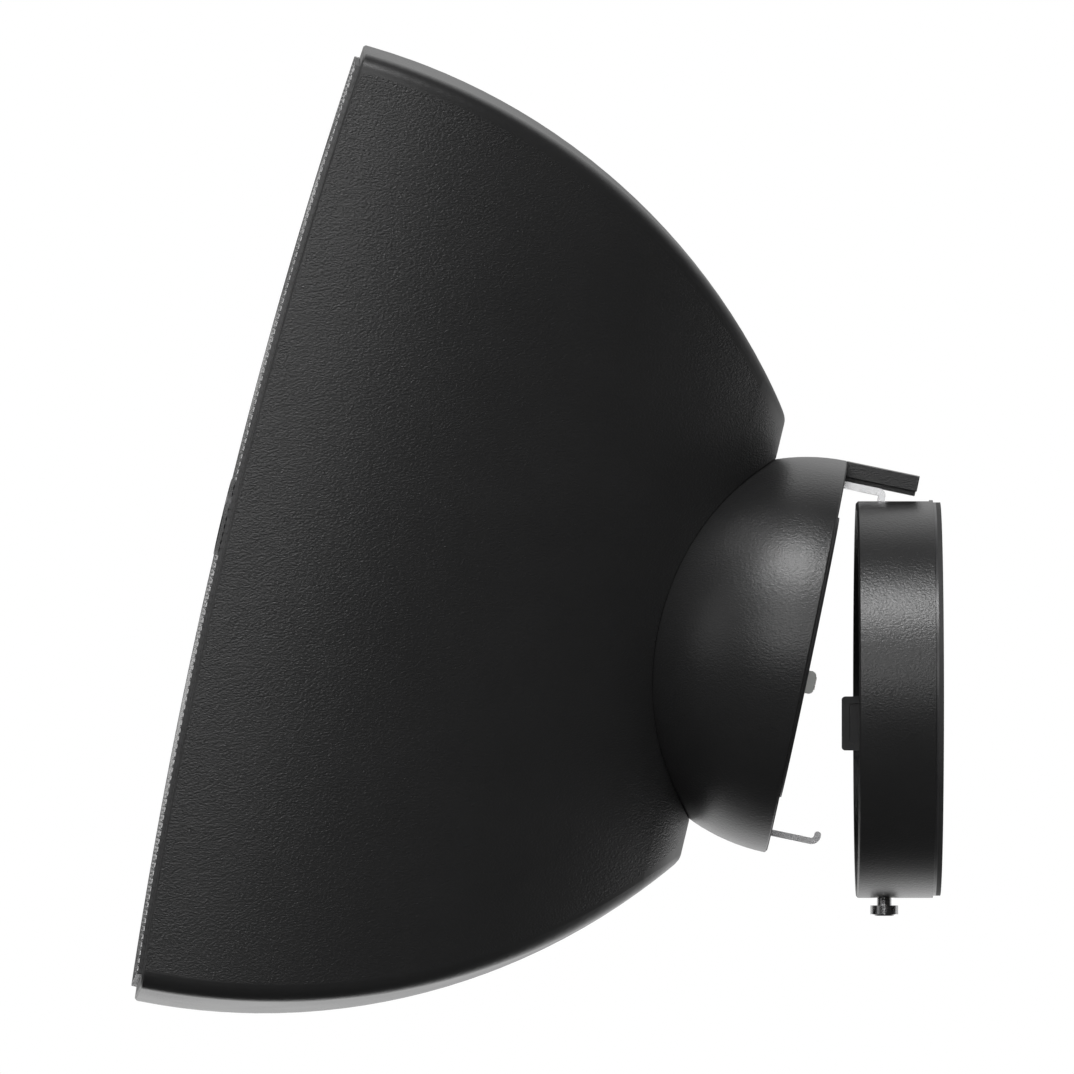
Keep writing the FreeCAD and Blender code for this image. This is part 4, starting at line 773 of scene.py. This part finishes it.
def ray_masks(tree):
    """Two masks: rays that see the white backdrop, from the camera or through glass, and mirrored rays."""
    path = add_node(tree, "ShaderNodeLightPath").outputs
    shown = calculate(tree, "MAXIMUM", path["Is Camera Ray"], path["Is Transmission Ray"])
    return shown, path["Is Glossy Ray"]


def studio_world():
    """White behind the object; in mirrors, a bright backdrop, a pale wall on the left and a dim room."""
    world = bpy.data.worlds.new("studio")
    bpy.context.scene.world = world
    world.use_nodes = True
    tree = world.node_tree
    tree.nodes.clear()
    shown, mirrored = ray_masks(tree)
    direction = add_node(tree, "ShaderNodeTexCoord").outputs["Generated"]
    heading = add_node(tree, "ShaderNodeSeparateXYZ", {0: direction}).outputs
    backdrop = calculate(tree, "MULTIPLY", remap(tree, heading["Y"], *BACKDROP_FADE),
                         remap(tree, heading["Z"], *BACKDROP_FOOT_FADE))
    wall = calculate(tree, "MULTIPLY", remap(tree, heading["X"], *LEFT_WALL_FADE),
                     remap(tree, heading["Z"], *LEFT_WALL_FOOT_FADE))
    room = calculate(tree, "MULTIPLY", mirrored, calculate(tree, "MAXIMUM", backdrop, wall))
    other = calculate(tree, "SUBTRACT", 1.0, calculate(tree, "MAXIMUM", shown, mirrored))
    level = calculate(tree, "MAXIMUM", calculate(tree, "MAXIMUM", shown, room),
                      calculate(tree, "MULTIPLY", other, AMBIENT))
    light = add_node(tree, "ShaderNodeBackground", {"Color": WHITE, "Strength": level})
    output = add_node(tree, "ShaderNodeOutputWorld")
    tree.links.new(light.outputs[0], output.inputs["Surface"])


def mix_shaders(tree, share, first, second):
    """The first shader where the share is 0, the second where it is 1."""
    return add_node(tree, "ShaderNodeMixShader", {0: share, 1: first, 2: second}).outputs[0]


def floor_material():
    """A pale floor that keeps the shadow, looks white to the camera and is clear from below."""
    material, tree, shader = new_material("pale_floor", roughness=FLOOR_ROUGHNESS)
    vector = object_coordinates(tree)
    tone = mix_colours(tree, noise(tree, vector, scale=3.0, detail=2.0), *FLOOR_TONES)
    tree.links.new(tone, shader.inputs["Base Color"])
    shown, mirrored = ray_masks(tree)
    place = add_node(tree, "ShaderNodeSeparateXYZ", {0: vector}).outputs
    strength = calculate(tree, "MULTIPLY_ADD", mirrored, remap(tree, place["Y"], *FLOOR_FADE), shown)
    white = add_node(tree, "ShaderNodeEmission", {"Color": WHITE, "Strength": strength})
    seen = calculate(tree, "MAXIMUM", shown, mirrored)
    above = mix_shaders(tree, seen, shader.outputs[0], white.outputs[0])
    below = add_node(tree, "ShaderNodeBsdfTransparent").outputs[0]
    from_below = add_node(tree, "ShaderNodeNewGeometry").outputs["Backfacing"]
    surface = mix_shaders(tree, from_below, above, below)
    tree.links.new(surface, tree.nodes["Material Output"].inputs["Surface"])
    return material


def pale_floor(drop):
    """The floor, far below the object."""
    mesh = bmesh.new()
    bmesh.ops.create_grid(mesh, x_segments=1, y_segments=1, size=FLOOR_REACH,
                          matrix=Matrix.Translation((0, 0, -drop)))
    data = bpy.data.meshes.new("floor")
    mesh.to_mesh(data)
    mesh.free()
    data.materials.append(floor_material())
    floor = bpy.data.objects.new("floor", data)
    bpy.context.scene.collection.objects.link(floor)


class SPEAKER_OT_stage(bpy.types.Operator):
    """Sets the camera, the lamps, the white backdrop and the floor."""

    bl_idname = "speaker.stage"
    bl_label = "Stage"

    def execute(self, context):
        settings = context.scene.speaker_stage
        side_camera(settings.distance, settings.look_up)
        studio_world()
        pale_floor(settings.floor_drop)
        for name, (place, target, width, height) in LAMPS.items():
            area_lamp(f"{name}_lamp", place, target, width, height, getattr(settings, f"{name}_power"))
        context.scene.view_settings.view_transform = "Standard"
        return {"FINISHED"}


class SPEAKER_PT_panel(bpy.types.Panel):
    """Lists the steps that build the speaker, and their settings."""

    bl_idname = "SPEAKER_PT_panel"
    bl_label = "Wall Speaker"
    bl_space_type = "VIEW_3D"
    bl_region_type = "UI"
    bl_category = "Speaker"

    def draw(self, context):
        for operator in OPERATORS:
            self.layout.operator(operator.bl_idname)
        for group in SETTINGS:
            for name in SETTINGS[group].__annotations__:
                self.layout.prop(getattr(context.scene, group), name)


OPERATORS = [
    SPEAKER_OT_finish_nodes,
    SPEAKER_OT_grille,
    SPEAKER_OT_grille_wall,
    SPEAKER_OT_badge,
    SPEAKER_OT_stage,
]
SETTINGS = {
    "speaker_grille": SpeakerGrilleSettings,
    "speaker_finish": SpeakerFinishSettings,
    "speaker_stage": SpeakerStageSettings,
}
CLASSES = [*SETTINGS.values(), *OPERATORS, SPEAKER_PT_panel]


def register():
    for item in CLASSES:
        bpy.utils.register_class(item)
    for name, group in SETTINGS.items():
        setattr(bpy.types.Scene, name, bpy.props.PointerProperty(type=group))


def unregister():
    for name in SETTINGS:
        delattr(bpy.types.Scene, name)
    for item in reversed(CLASSES):
        bpy.utils.unregister_class(item)


def main():
    """Builds the speaker's looks and its stage."""
    register()
    bpy.ops.speaker.finish_nodes()
    bpy.ops.speaker.grille()
    bpy.ops.speaker.grille_wall()
    bpy.ops.speaker.badge()
    bpy.ops.speaker.stage()


if __name__ == "__main__":
    main()
